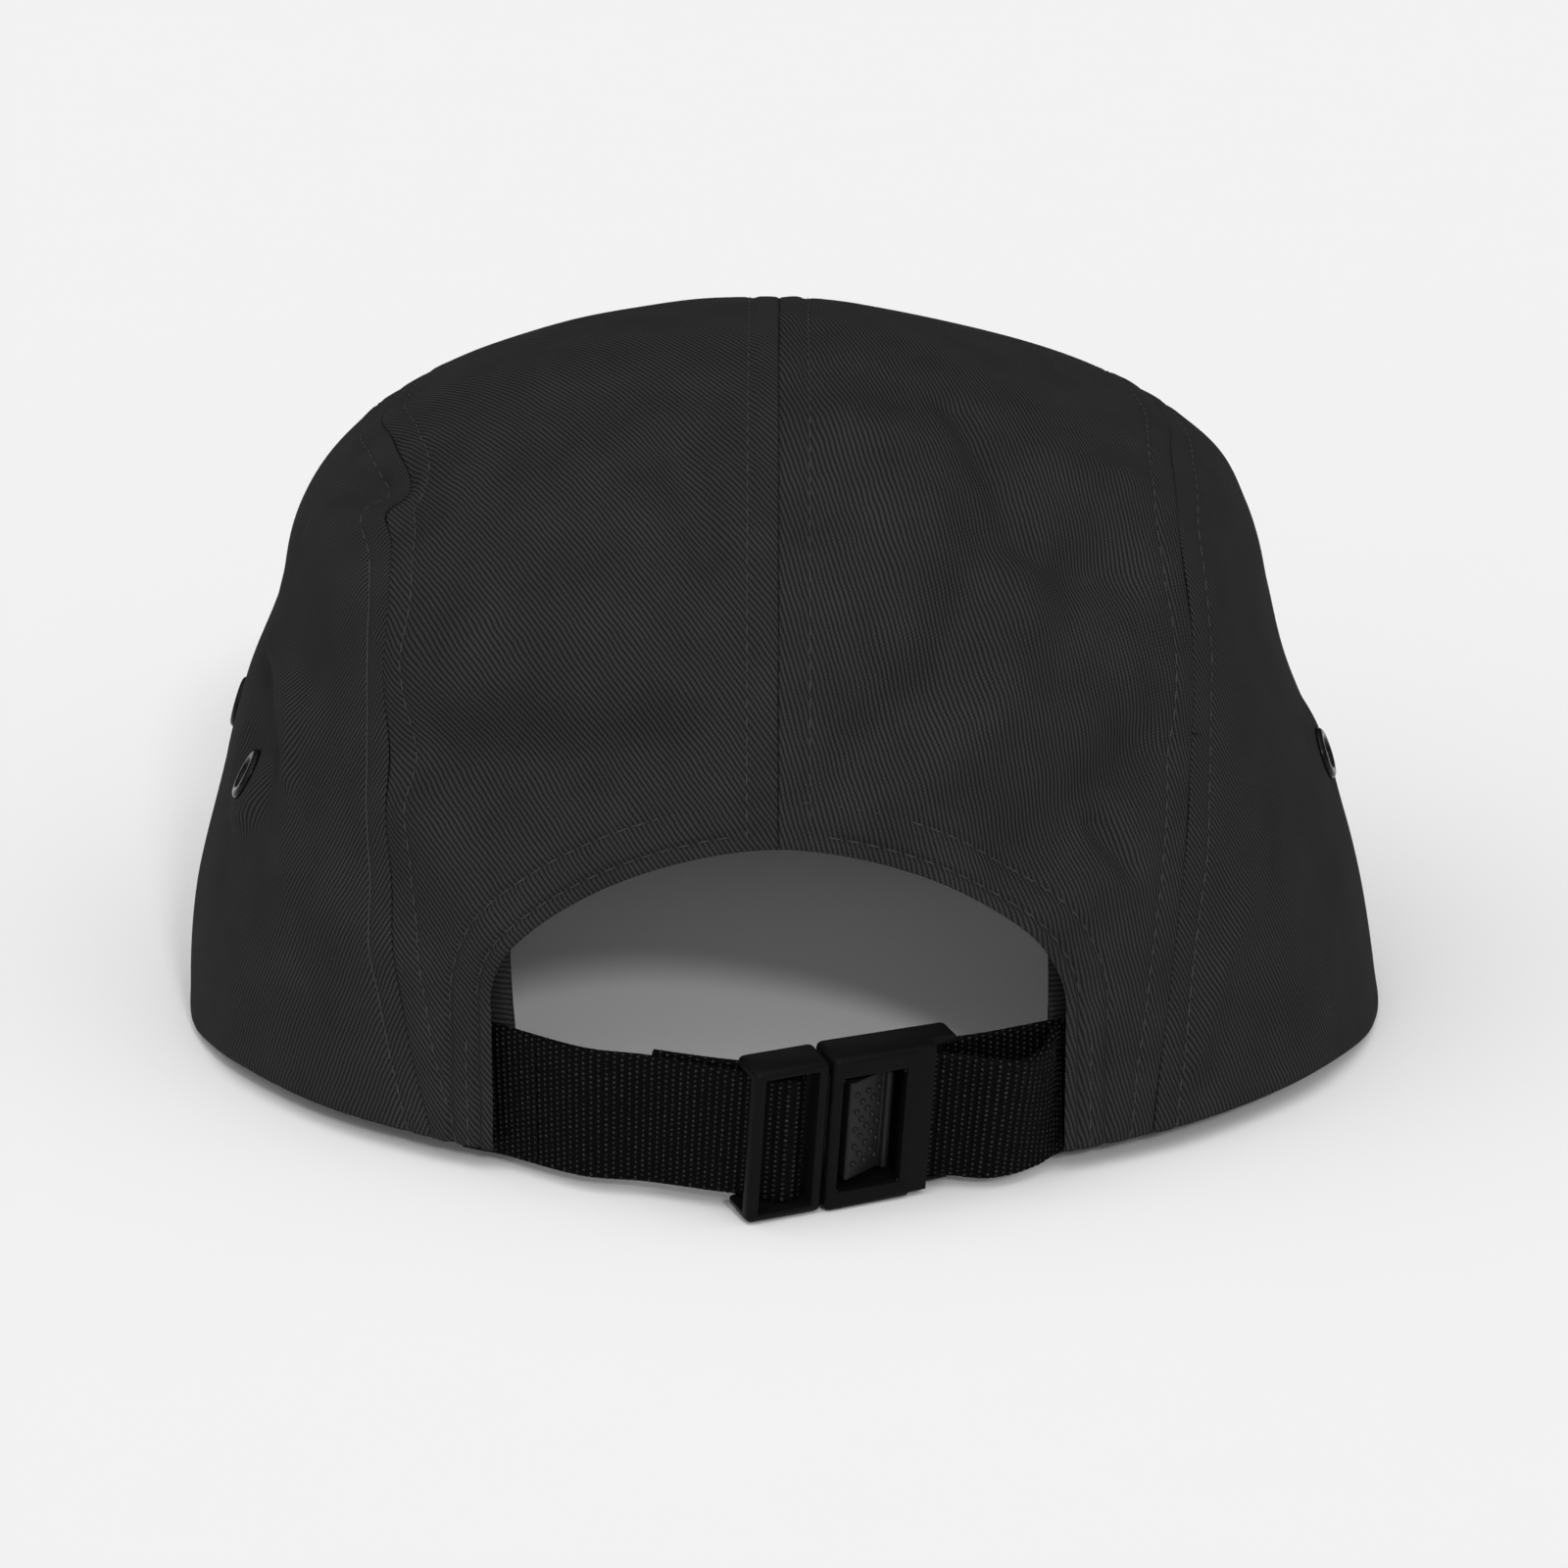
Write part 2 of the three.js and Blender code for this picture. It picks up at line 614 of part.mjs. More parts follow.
/** Webbing ribbon along a path in the buckle's frame. */
function strapGeometry(path, columns) {
  const rowOf = ({ along, out, lean }) => new THREE.Vector3(along, out, lean);
  const line = new THREE.CatmullRomCurve3(path.map(rowOf), false, "centripetal");
  line.arcLengthDivisions = 600;
  const yaw = new THREE.Matrix4().makeRotationZ(degrees(buckleYaw));
  yaw.setPosition(buckleAside, buckleBack, buckleCentreHeight);
  return thickSheet(columns, 1, webThickness, (u, v) => {
    const at = line.getPointAt(u);
    const step = line.getTangentAt(u);
    const side = new THREE.Vector3(step.y, -step.x, 0).normalize();
    const leaned = new THREE.Matrix4().makeRotationX(-degrees(at.z));
    const out = THREE.MathUtils.clamp(at.y, buckleRear, buckleFront);
    const point = new THREE.Vector3(at.x, out, webWidth * (v - 0.5) - webDrop);
    point.addScaledVector(side, webThickness / 2).applyMatrix4(leaned);
    point.y += at.y - out;
    return {
      point: point.applyMatrix4(yaw),
      normal: side.transformDirection(leaned).transformDirection(yaw),
    };
  });
}

/** Block between two corners given along, out and up in the buckle's frame. */
function block([alongFrom, alongTo], [outFrom, outTo], [upFrom, upTo]) {
  return new THREE.BoxGeometry(alongTo - alongFrom, outTo - outFrom, upTo - upFrom).translate(
    (alongFrom + alongTo) / 2,
    (outFrom + outTo) / 2,
    (upFrom + upTo) / 2,
  );
}

/** Upright round bar in the buckle's frame. */
function uprightBar(along) {
  return new THREE.CylinderGeometry(webBarRadius, webBarRadius, 2 * slotHalfHeight + 0.8, 16)
    .rotateX(Math.PI / 2)
    .translate(along, webBarDepth, 0);
}

/** Outline in the buckle's front view (along, up), extruded between two depths. */
function frontPlate(corners, [outFrom, outTo], edgeRound) {
  const shape = new THREE.Shape(corners.map(([along, up]) => new THREE.Vector2(along, -up)));
  return new THREE.ExtrudeGeometry(shape, {
    depth: outTo - outFrom - 2 * edgeRound,
    bevelEnabled: edgeRound > 0,
    bevelThickness: edgeRound,
    bevelSize: edgeRound,
    bevelOffset: -edgeRound,
    bevelSegments: 1,
  })
    .rotateX(-Math.PI / 2)
    .translate(0, outFrom + edgeRound, 0);
}

/** Socket: a hollow body with a window in its face and a slot with a bar for the right strap. */
function socketGeometry() {
  const far = buckleHalfHeight - socketTaper;
  const body = frontPlate(
    [[0, -buckleHalfHeight], [0, buckleHalfHeight], [socketEnd, far], [socketEnd, -far]],
    [buckleRear, buckleFront],
    0.5,
  );
  const face = buckleFront - faceThickness;
  const beyond = buckleFront + 1;
  const upright = [-slotHalfHeight, slotHalfHeight];
  const cutters = [
    block([cavityEnd, 1], [buckleRear + 0.9, face], [-cavityHalfHeight, cavityHalfHeight]),
    block([windowEnd, windowStart], [0, beyond], [-windowHalfHeight, windowHalfHeight]),
    block([socketEnd - 1, socketDivider], [-beyond, face], upright),
    block([socketEnd - 1, socketFaceEnd], [face - 1, beyond], [-buckleHalfHeight - 1, buckleHalfHeight + 1]),
  ];
  return carve([carve([body], cutters), uprightBar(socketWebBar)]);
}

/** Tongue: a frame for the left strap, and the prong with its thumb pad inside the socket. */
function tongueGeometry() {
  const frame = frontPlate(
    [
      [tongueStart, -tongueHalfHeight],
      [tongueStart, tongueHalfHeight],
      [tongueEnd, tongueHalfHeight],
      [tongueEnd, -tongueHalfHeight],
    ],
    [buckleRear, tongueFront],
    0.4,
  );
  const upright = [-slotHalfHeight, slotHalfHeight];
  const through = [buckleRear - 1, buckleFront + 1];
  const cutters = [
    block([tongueStart + tongueWall, tongueEnd - frameBar], through, upright),
    block([tongueEnd - frameBar - 1, tongueEnd + 1], [buckleRear - 1, tongueFront - frameBar], upright),
  ];
  const pad = new THREE.Shape(padProfile.map(({ along, out }) => new THREE.Vector2(along, out)));
  const padBody = new THREE.ExtrudeGeometry(pad, { depth: 2 * padHalfHeight, bevelEnabled: false });
  return carve([
    carve([frame], cutters),
    uprightBar(tongueWebBar),
    padBody.translate(0, 0, -padHalfHeight),
    block([windowEnd + 0.5, tongueStart + 0.4], [-1.9, -0.4], [-prongHalfHeight, prongHalfHeight]),
  ]);
}

const sides = [
  { name: "left", side: 1 },
  { name: "right", side: -1 },
];

addPiece("front_panel", panelGeometry(frontPanelEdges(), 18, 10, "front_panel"), twill);
for (const { name, side } of sides) {
  addPiece(`${name}_back_panel`, panelGeometry(backPanelEdges(side), 8, 30, `${name}_back_panel`), twill);
  addPiece(`${name}_side_panel`, panelGeometry(sidePanelEdges(side), 18, 12, `${name}_side_panel`), twill);
}
addPiece("peak", peakGeometry(), twill);
addPiece("sweatband", bandGeometry(), bandCloth);
addPiece("left_strap", strapGeometry([...tuckPath(1, 0), ...leftStrapPath], 66), webbing);
const rightInnerTuck = tuckPath(-1, 1).reverse();
addPiece("right_strap", strapGeometry([...tuckPath(-1, 0), ...rightStrapPath, ...rightInnerTuck], 66), webbing);
addPiece("buckle_socket", socketGeometry(), plastic, buckleFrame);
addPiece("buckle_tongue", tongueGeometry(), plastic, buckleFrame);
for (const eyelet of eyelets) addPiece(eyelet.name, eyeletGeometry(), blackMetal, eyeletPlace(eyelet));

const bounds = new THREE.Box3().setFromObject(cap);
const middle = bounds.getCenter(new THREE.Vector3());
cap.position.set(-middle.x, -middle.y, -bounds.min.z);

export default cap;
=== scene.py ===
"""Five panel cap, seen from behind: cloth crown, peak, sweatband, eyelets, and a strap with a press buckle.

Sizes are millimetres in the crown's own frame: the middle of the rim is the origin, +X is the wearer's left,
+Y the back and +Z up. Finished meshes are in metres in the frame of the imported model.
"""

import logging
import math
from dataclasses import dataclass, field, replace
from enum import Enum
from typing import Callable, Iterable, Sequence

import bmesh
import bpy
import numpy as np
from mathutils import Matrix, Vector


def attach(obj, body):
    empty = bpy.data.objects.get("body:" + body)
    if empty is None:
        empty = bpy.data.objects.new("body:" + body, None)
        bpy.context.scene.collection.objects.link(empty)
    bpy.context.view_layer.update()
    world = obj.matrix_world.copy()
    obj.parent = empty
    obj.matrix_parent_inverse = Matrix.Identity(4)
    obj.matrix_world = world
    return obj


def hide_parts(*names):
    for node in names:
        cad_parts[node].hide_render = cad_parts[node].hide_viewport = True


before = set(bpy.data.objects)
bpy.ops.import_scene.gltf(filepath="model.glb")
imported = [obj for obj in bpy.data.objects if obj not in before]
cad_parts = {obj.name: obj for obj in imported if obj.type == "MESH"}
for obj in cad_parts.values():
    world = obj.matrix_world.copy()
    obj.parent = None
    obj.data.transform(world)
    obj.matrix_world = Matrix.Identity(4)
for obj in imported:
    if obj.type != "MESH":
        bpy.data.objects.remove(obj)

log = logging.getLogger("cap")
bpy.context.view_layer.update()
CROWN_SHIFT = Vector((0.91865, 26.7496, 0.03107))
TO_ROW = Matrix.Scale(0.001, 4) @ Matrix.Translation(CROWN_SHIFT)
MM = 1000.0
Array = np.ndarray
Curve = Callable[[Array], Array]
Span = tuple[float, float]


class Side(Enum):
    """Side of the wearer, with its sign along X."""

    LEFT = 1
    RIGHT = -1

    @property
    def label(self) -> str:
        """Name used in the pieces' names."""
        return self.name.lower()


class Slot(Enum):
    """Material slots of the record."""

    TWILL = "twill"
    BAND = "band_cloth"
    WEBBING = "webbing"
    PLASTIC = "buckle_plastic"
    METAL = "eyelet_metal"


# Small tools


def unit(vectors: Array) -> Array:
    """Vectors scaled to length one."""
    return vectors / np.maximum(np.linalg.norm(vectors, axis=-1, keepdims=True), 1e-12)


def smoothstep(value: Array, low: float, high: float) -> Array:
    """Smooth rise from 0 at low to 1 at high."""
    share = np.clip((value - low) / (high - low), 0.0, 1.0)
    return share * share * (3.0 - 2.0 * share)


def arc_lengths(points: Array) -> Array:
    """Length along a line of points, from its first point to each."""
    return np.concatenate([[0.0], np.cumsum(np.linalg.norm(np.diff(points, axis=0), axis=1))])


@dataclass(frozen=True)
class SmoothTable:
    """Smooth curve through the rows of a table, level beyond its ends.

    Args:
        at: the keys, rising.
        values: one value for each key.
    """

    at: tuple[float, ...]
    values: tuple[float, ...]

    def __call__(self, where: Array) -> Array:
        """Value at each place."""
        keys, rows = np.array(self.at, float), np.array(self.values, float)
        slopes = np.zeros(len(keys))
        slopes[1:-1] = (rows[2:] - rows[:-2]) / (keys[2:] - keys[:-2])
        slopes[0] = 1.5 * (rows[1] - rows[0]) / (keys[1] - keys[0]) - 0.5 * slopes[1]
        slopes[-1] = 1.5 * (rows[-1] - rows[-2]) / (keys[-1] - keys[-2]) - 0.5 * slopes[-2]
        place = np.clip(where, keys[0], keys[-1])
        row = np.clip(np.searchsorted(keys, place, side="right") - 1, 0, len(keys) - 2)
        step = keys[row + 1] - keys[row]
        share = (place - keys[row]) / step
        square, cube = share**2, share**3
        return (
            (2 * cube - 3 * square + 1) * rows[row]
            + (cube - 2 * square + share) * step * slopes[row]
            + (3 * square - 2 * cube) * rows[row + 1]
            + (cube - square) * step * slopes[row + 1]
        )


@dataclass(frozen=True)
class Fold:
    """Soft fold along a line of points; it stands out by its depth, or in where that is negative."""

    line: tuple[tuple[float, float, float], ...]
    width: float
    depth: float

    def lift(self, points: Array) -> Array:
        """How far the fold lifts the cloth at each point."""
        away = np.full(points.shape[:-1], np.inf)
        for start, end in zip(np.array(self.line[:-1], float), np.array(self.line[1:], float)):
            run = end - start
            share = np.clip(((points - start) @ run) / (run @ run), 0.0, 1.0)
            away = np.minimum(away, np.linalg.norm(points - (start + share[..., None] * run), axis=-1))
        return self.depth * np.exp(-((away / self.width) ** 2))


def path_of(points: Array) -> Curve:
    """Curve along a line of points, by its share of the length."""
    lengths = arc_lengths(points)
    shares = lengths / lengths[-1]

    def at(where: Array) -> Array:
        """Points at shares of the length."""
        return np.stack([np.interp(where, shares, points[:, k]) for k in range(3)], axis=-1)

    return at


def joined(curves: Sequence[Curve], knots: Sequence[float] = ()) -> Curve:
    """One curve along several, each ending where the next begins.

    Args:
        curves: the curves in order.
        knots: shares at which one curve ends and the next begins.

    Returns:
        The joined curve.
    """
    ends = [0.0, *knots, 1.0]

    def at(where: Array) -> Array:
        """Points at shares of the whole."""
        points = np.zeros((len(where), 3))
        for k, curve in enumerate(curves):
            inside = (where >= ends[k]) & ((where < ends[k + 1]) | (k == len(curves) - 1))
            points[inside] = curve((where[inside] - ends[k]) / (ends[k + 1] - ends[k]))
        return points

    return at


@dataclass(frozen=True)
class Ripple:
    """Gentle unevenness of cloth: a sum of waves in random directions.

    Args:
        seed: start of the random draws.
        waves: how many waves are added.
        shortest: shortest wave in mm.
        longest: longest wave in mm.
    """

    seed: int
    waves: int
    shortest: float
    longest: float

    def __call__(self, points: Array) -> Array:
        """Height from about -1 to 1 at each point; points may have any number of coordinates."""
        draw = np.random.RandomState(self.seed)
        total = np.zeros(points.shape[:-1])
        for _ in range(self.waves):
            direction = unit(draw.normal(size=points.shape[-1]))
            length = self.shortest * (self.longest / self.shortest) ** draw.uniform()
            total += np.sin(points @ direction * (2 * math.pi / length) + draw.uniform(0, 2 * math.pi))
        return total / math.sqrt(self.waves)


# Shape of the crown


@dataclass(frozen=True)
class CrownShape:
    """Outer face of the crown and the lines that cross it."""

    half_width: float = 94.5
    reach: float = 86.0
    height: float = 112.2
    rim_lift: float = 3.4
    arch_half_width: float = 42.2
    arch_height: float = 50.4
    arch_leg: float = 26.0
    arch_squareness: float = 1.78
    front_seam_over: float = 118.0
    front_seam_droop: float = 6.0
    front_foot_angle: float = 62.0
    climbs: tuple[float, ...] = (0, 10, 20, 30, 38, 46, 54, 64, 76, 90)
    left_form: tuple[float, ...] = (1.0, 1.0, 0.995, 1.02, 1.05, 1.15, 1.235, 1.3, 1.35, 1.4)
    right_form: tuple[float, ...] = (1.02, 1.0, 0.99, 0.985, 1.035, 1.125, 1.21, 1.18, 0.9, 0.7)
    back_form: tuple[float, ...] = (1.0, 1.0, 1.0, 1.0, 1.02, 1.05, 1.08, 1.11, 1.14, 1.16)
    front_form: tuple[float, ...] = (1.0, 1.0, 1.0, 1.01, 1.03, 1.07, 1.12, 1.18, 1.24, 1.28)
    squareness: tuple[float, ...] = (2.0, 2.05, 2.1, 2.2, 2.3, 2.4, 2.4, 2.3, 2.2, 2.1)
    seam_over: tuple[float, ...] = (0, 20, 40, 57, 65, 69, 73, 78, 90, 130)
    left_seam: tuple[float, ...] = (0.535, 0.592, 0.61, 0.613, 0.614, 0.622, 0.6, 0.618, 0.652, 0.54)
    right_seam: tuple[float, ...] = (0.585, 0.614, 0.645, 0.657, 0.642, 0.637, 0.636, 0.636, 0.636, 0.53)

    @property
    def corner_over(self) -> float:
        """Angle over the top at which the front seam meets a side seam."""
        return self.front_seam_over + self.front_seam_droop

    def level(self, points: Array) -> Array:
        """Above 1 outside the face and below 1 inside it."""
        x, y, z = points[..., 0], points[..., 1], points[..., 2]
        climb = np.arcsin(np.clip(z / self.height, 0.0, 1.0))
        key = np.degrees(climb)
        side = np.where(x > 0, self._form(self.left_form, key), self._form(self.right_form, key))
        fore = np.where(y > 0, self._form(self.back_form, key), self._form(self.front_form, key))
        power = self._form(self.squareness, key)
        shrink = np.maximum(np.cos(climb), 1e-6)
        across = np.abs(x / (self.half_width * side * shrink)) ** power
        along = np.abs(y / (self.reach * fore * shrink)) ** power
        return np.where(z >= self.height, np.inf, across + along)

    def _form(self, column: tuple[float, ...], key: Array) -> Array:
        """Value of one column of the form table."""
        return SmoothTable(self.climbs, column)(key)

    def cast(self, origins: Array, directions: Array) -> Array:
        """Where rays from inside the crown meet its face."""
        near = np.zeros(directions.shape[:-1])
        far = np.full(directions.shape[:-1], self.half_width + self.reach + self.height)
        for _ in range(30):
            middle = (near + far) / 2
            inside = self.level(origins + directions * middle[..., None]) < 1
            near, far = np.where(inside, middle, near), np.where(inside, far, middle)
        return origins + directions * near[..., None]

    def normals(self, points: Array) -> Array:
        """Outward unit normals of the crown's face near points."""
        low = np.minimum(points, (np.inf, np.inf, self.height - 0.3))
        steps = np.eye(3) * 0.1
        return unit(np.stack([self.level(low + step) - self.level(low - step) for step in steps], axis=-1))

    def wall(self, azimuths: Array, heights: Array) -> Array:
        """Points of the wall by azimuth, in degrees from the wearer's left towards the back, and height."""
        turn = np.radians(azimuths)
        origins = np.stack([0 * turn, 0 * turn, heights + 0 * turn], axis=-1)
        return self.cast(origins, np.stack([np.cos(turn), np.sin(turn), 0 * turn], axis=-1))

    def wall_normal(self, azimuth: float, height: float) -> tuple[Vector, Vector]:
        """Point of the wall and its outward normal."""
        step = 0.5
        at = self.wall(np.array([azimuth, azimuth - step, azimuth + step, azimuth, azimuth]),
                       np.array([height, height, height, height - step, height + step]))
        normal = unit(np.cross(at[2] - at[1], at[4] - at[3]))
        return Vector(at[0]), Vector(normal)

    def rim_height(self, azimuths: Array) -> Array:
        """Height of the rim's edge, which lifts a little at the back."""
        return self.rim_lift * smoothstep(np.sin(np.radians(azimuths)), 0.05, 0.5)

    def rim(self, azimuths: Array) -> Array:
        """Points of the rim's edge."""
        return self.wall(azimuths, self.rim_height(azimuths))

    def over(self, aside: Array, overs: Array) -> Array:
        """Points at distances aside, over the top by angles from the back."""
        turn = np.radians(overs)
        origins = np.stack([aside, 0 * turn, 0 * turn], axis=-1)
        return self.cast(origins, np.stack([0 * turn, np.cos(turn), np.sin(turn)], axis=-1))

    def back(self, aside: Array, heights: Array) -> Array:
        """Points of the back wall straight behind places in the middle upright plane."""
        origins = np.stack([aside, 0 * aside, heights], axis=-1)
        return self.cast(origins, np.tile([0.0, 1.0, 0.0], (len(aside), 1)))

    def seam(self, side: Side, overs: Array) -> Array:
        """Points of a side seam."""
        column = self.left_seam if side is Side.LEFT else self.right_seam
        return self.over(side.value * self.half_width * SmoothTable(self.seam_over, column)(overs), overs)

    def seam_path(self, side: Side, start: float, end: float) -> Curve:
        """Curve along a side seam between two angles over the top."""
        return path_of(self.seam(side, np.linspace(start, end, 160)))

    def rim_path(self, start: float, end: float) -> Curve:
        """Curve along the rim between two azimuths."""
        return path_of(self.rim(np.linspace(start, end, 160)))

    def front_seam(self, shares: Array) -> Array:
        """Points of the seam between the front and back panels, by the share of the way to a side."""
        left, right = (
            SmoothTable(self.seam_over, column)(np.array([self.corner_over]))[0] * self.half_width
            for column in (self.left_seam, self.right_seam)
        )
        overs = self.front_seam_over + self.front_seam_droop * shares**2
        return self.over(shares * np.where(shares >= 0, left, right), overs)

    def front_foot(self, side: Side) -> float:
        """Azimuth of the front panel's foot on one side."""
        return -90 + side.value * self.front_foot_angle

    def front_edge(self, side: Side) -> Curve:
        """Curve up the front panel's side edge, from the rim to its top corner."""
        foot = unit(self.rim(np.array([self.front_foot(side)]))[0])
        corner = unit(self.seam(side, np.array([self.corner_over]))[0])
        shares = np.linspace(0, 1, 160)[:, None]
        directions = unit(foot * (1 - shares) + corner * shares)
        return path_of(self.cast(np.zeros((160, 3)), directions))

    def arch(self, side: Side) -> tuple[Curve, Curve, float]:
        """Edge of the arch on one side.

        Args:
            side: the wearer's side.

        Returns:
            The upright leg, the curve to the middle, and the angle over the top at which the arch ends.
        """
        rise = np.linspace(0, 1, 160)
        aside = np.full(160, side.value * self.arch_half_width)
        leg = self.back(aside, self.rim_lift + (self.arch_leg - self.rim_lift) * rise)
        turn = np.radians(90 * rise)
        power = 2 / self.arch_squareness
        curve = self.back(
            aside * np.clip(np.cos(turn), 0, 1) ** power,
            self.arch_leg + (self.arch_height - self.arch_leg) * np.sin(turn) ** power,
        )
        top = curve[-1]
        return path_of(leg), path_of(curve), math.degrees(math.atan2(top[2], top[1]))

    def back_arc(self) -> SmoothTable:
        """Length over the top along the middle, from the back rim, by angle."""
        overs = np.linspace(0, 130, 40)
        return SmoothTable(tuple(overs), tuple(arc_lengths(self.over(0 * overs, overs))))

    def climb_arc(self, azimuth: float) -> SmoothTable:
        """Length up one side of the crown, by height."""
        heights = np.linspace(0, self.height * 0.9995, 60)
        return SmoothTable(tuple(heights), tuple(arc_lengths(self.wall(np.full(60, azimuth), heights))))


# Folds that the solids have too
FOLDS = (
    Fold(((56, 34, 92), (62, 28, 91)), 6.5, -1.6),
    Fold(((76, 18, 71), (72, 41, 59)), 5.0, 0.9),
    Fold(((72, 41, 59), (75, 43, 42)), 6.0, 0.6),
    Fold(((16, 28, 100), (11, 40, 95)), 14.0, -1.3),
    Fold(((-48, 36, 92), (-46, 46, 84)), 10.0, -1.2),
)

# Further folds of the finished cloth. The left back panel sags over the arch, with a crease under the sag
CREASES = (
    Fold(((53, 55, 71), (34, 63, 73), (15, 67, 72)), 8.0, 2.6),
    Fold(((51, 60, 60), (34, 68, 61), (19, 70, 64)), 6.0, -2.9),
    Fold(((53, 62, 51), (47, 68, 44), (42, 73, 36)), 7.0, 2.2),
    Fold(((15, 39, 102), (11, 55, 90)), 4.0, -1.6),
    # Right back panel: slanting folds between the top, the shoulder and the arch
    Fold(((-10, 36, 103), (-18, 42, 100), (-23, 54, 89), (-19, 63, 79)), 8.0, 2.9),
    Fold(((-31, 52, 90), (-22, 66, 72), (-12, 71, 62)), 6.0, -2.9),
    Fold(((-37, 55, 84), (-32, 65, 69), (-17, 73, 58)), 6.0, 2.9),
    Fold(((-34, 72, 48), (-45, 65, 53), (-54, 58, 59)), 6.0, -2.9),
    Fold(((-38, 74, 38), (-50, 66, 43)), 5.0, 1.4),
    Fold(((-26, 28, 104), (-31, 41, 98), (-37, 51, 89)), 2.6, -1.4),
    Fold(((-43, 33, 97), (-51, 32, 94)), 5.0, 1.6),
    Fold(((-42, 52, 85), (-49, 48, 85)), 6.0, -3.2),
    Fold(((-48, 65, 50), (-51, 65, 44)), 2.2, -1.9),
    # Left side panel: the pucker under the shoulder seam and the sharp ridge above the eyelet
    Fold(((67, 19, 90), (58, 29, 93)), 3.2, -1.6),
    Fold(((70, 23, 85), (59, 36, 89)), 3.5, 1.6),
    Fold(((78, 20, 66), (73, 34, 63), (73, 39, 58), (74, 42, 51)), 2.4, 1.4),
    Fold(((81, 20, 60), (78, 33, 51)), 4.5, -2.2),
    Fold(((73, 49, 35), (60, 63, 31)), 6.0, 1.0),
    # Right side panel: a long soft crease down to the rim
    Fold(((-71, 52, 34), (-66, 59, 25), (-62, 65, 13)), 2.8, 1.0),
    Fold(((-80, 34, 40), (-88, 28, 19)), 7.0, -1.0),
)


# Materials


@dataclass(frozen=True)
class Look:
    """Plain values of a finish, set on the shader's own sockets."""

    roughness: float
    specular: float


class ShaderTools:
    """Short ways to add and link shader nodes in one node tree."""

    def __init__(self, tree: bpy.types.NodeTree) -> None:
        """Keeps the tree."""
        self.tree = tree

    def add(self, kind: str, **values: object) -> bpy.types.Node:
        """Node of a kind with its properties set."""
        node = self.tree.nodes.new(kind)
        for name, value in values.items():
            setattr(node, name, value)
        return node

    def link(self, source: bpy.types.NodeSocket, target: bpy.types.NodeSocket) -> None:
        """Links two sockets."""
        self.tree.links.new(source, target)

    def feed(self, socket: bpy.types.NodeSocket, value: object) -> None:
        """Links a socket to a value's output, or sets it."""
        if isinstance(value, bpy.types.NodeSocket):
            self.link(value, socket)
        else:
            socket.default_value = value

    def math(self, operation: str, *values: object, clamp: bool = False) -> bpy.types.NodeSocket:
        """Output of a Math node."""
        node = self.add("ShaderNodeMath", operation=operation, use_clamp=clamp)
        for socket, value in zip(node.inputs, values):
            self.feed(socket, value)
        return node.outputs[0]

    def noise(self, vector: object, scale: float, detail: float = 2.0) -> bpy.types.NodeSocket:
        """Noise from 0 to 1."""
        node = self.add("ShaderNodeTexNoise")
        self.feed(node.inputs["Vector"], vector)
        node.inputs["Scale"].default_value = scale
        node.inputs["Detail"].default_value = detail
        return node.outputs["Fac"]

    def wave(self, place: object, pitch: object, phase: object = 0.0) -> bpy.types.NodeSocket:
        """Rise and fall from 0 to 1 once for each pitch."""
        turns = self.math("ADD", self.math("DIVIDE", place, pitch), phase)
        cosine = self.math("COSINE", self.math("MULTIPLY", turns, 2 * math.pi))
        return self.math("MULTIPLY_ADD", cosine, 0.5, 0.5)

    def blend(self, share: object, low: object, high: object) -> bpy.types.NodeSocket:
        """Colour between two colours."""
        node = self.add("ShaderNodeMix", data_type="RGBA")
        self.feed(node.inputs["Factor"], share)
        self.feed(node.inputs["A"], low)
        self.feed(node.inputs["B"], high)
        return node.outputs["Result"]


PLACE_AND_COLOURS = (
    ("Place", "NodeSocketVector", None),
    ("Dark", "NodeSocketColor", None),
    ("Light", "NodeSocketColor", None),
)
COLOUR_AND_HEIGHT = (("Color", "NodeSocketColor"), ("Height", "NodeSocketFloat"))


def node_group(
    name: str, inputs: Sequence[tuple[str, str, object]], outputs: Sequence[tuple[str, str]],
) -> tuple[bpy.types.NodeTree, ShaderTools, bpy.types.Node, bpy.types.Node]:
    """New shader node group.

    Args:
        name: name of the group.
        inputs: name, socket type and default of each input.
        outputs: name and socket type of each output.

    Returns:
        The group, its tools, its input node and its output node.
    """
    group = bpy.data.node_groups.new(name, "ShaderNodeTree")
    for label, kind, default in inputs:
        socket = group.interface.new_socket(name=label, in_out="INPUT", socket_type=kind)
        if default is not None:
            socket.default_value = default
    for label, kind in outputs:
        group.interface.new_socket(name=label, in_out="OUTPUT", socket_type=kind)
    tools = ShaderTools(group)
    return group, tools, tools.add("NodeGroupInput"), tools.add("NodeGroupOutput")


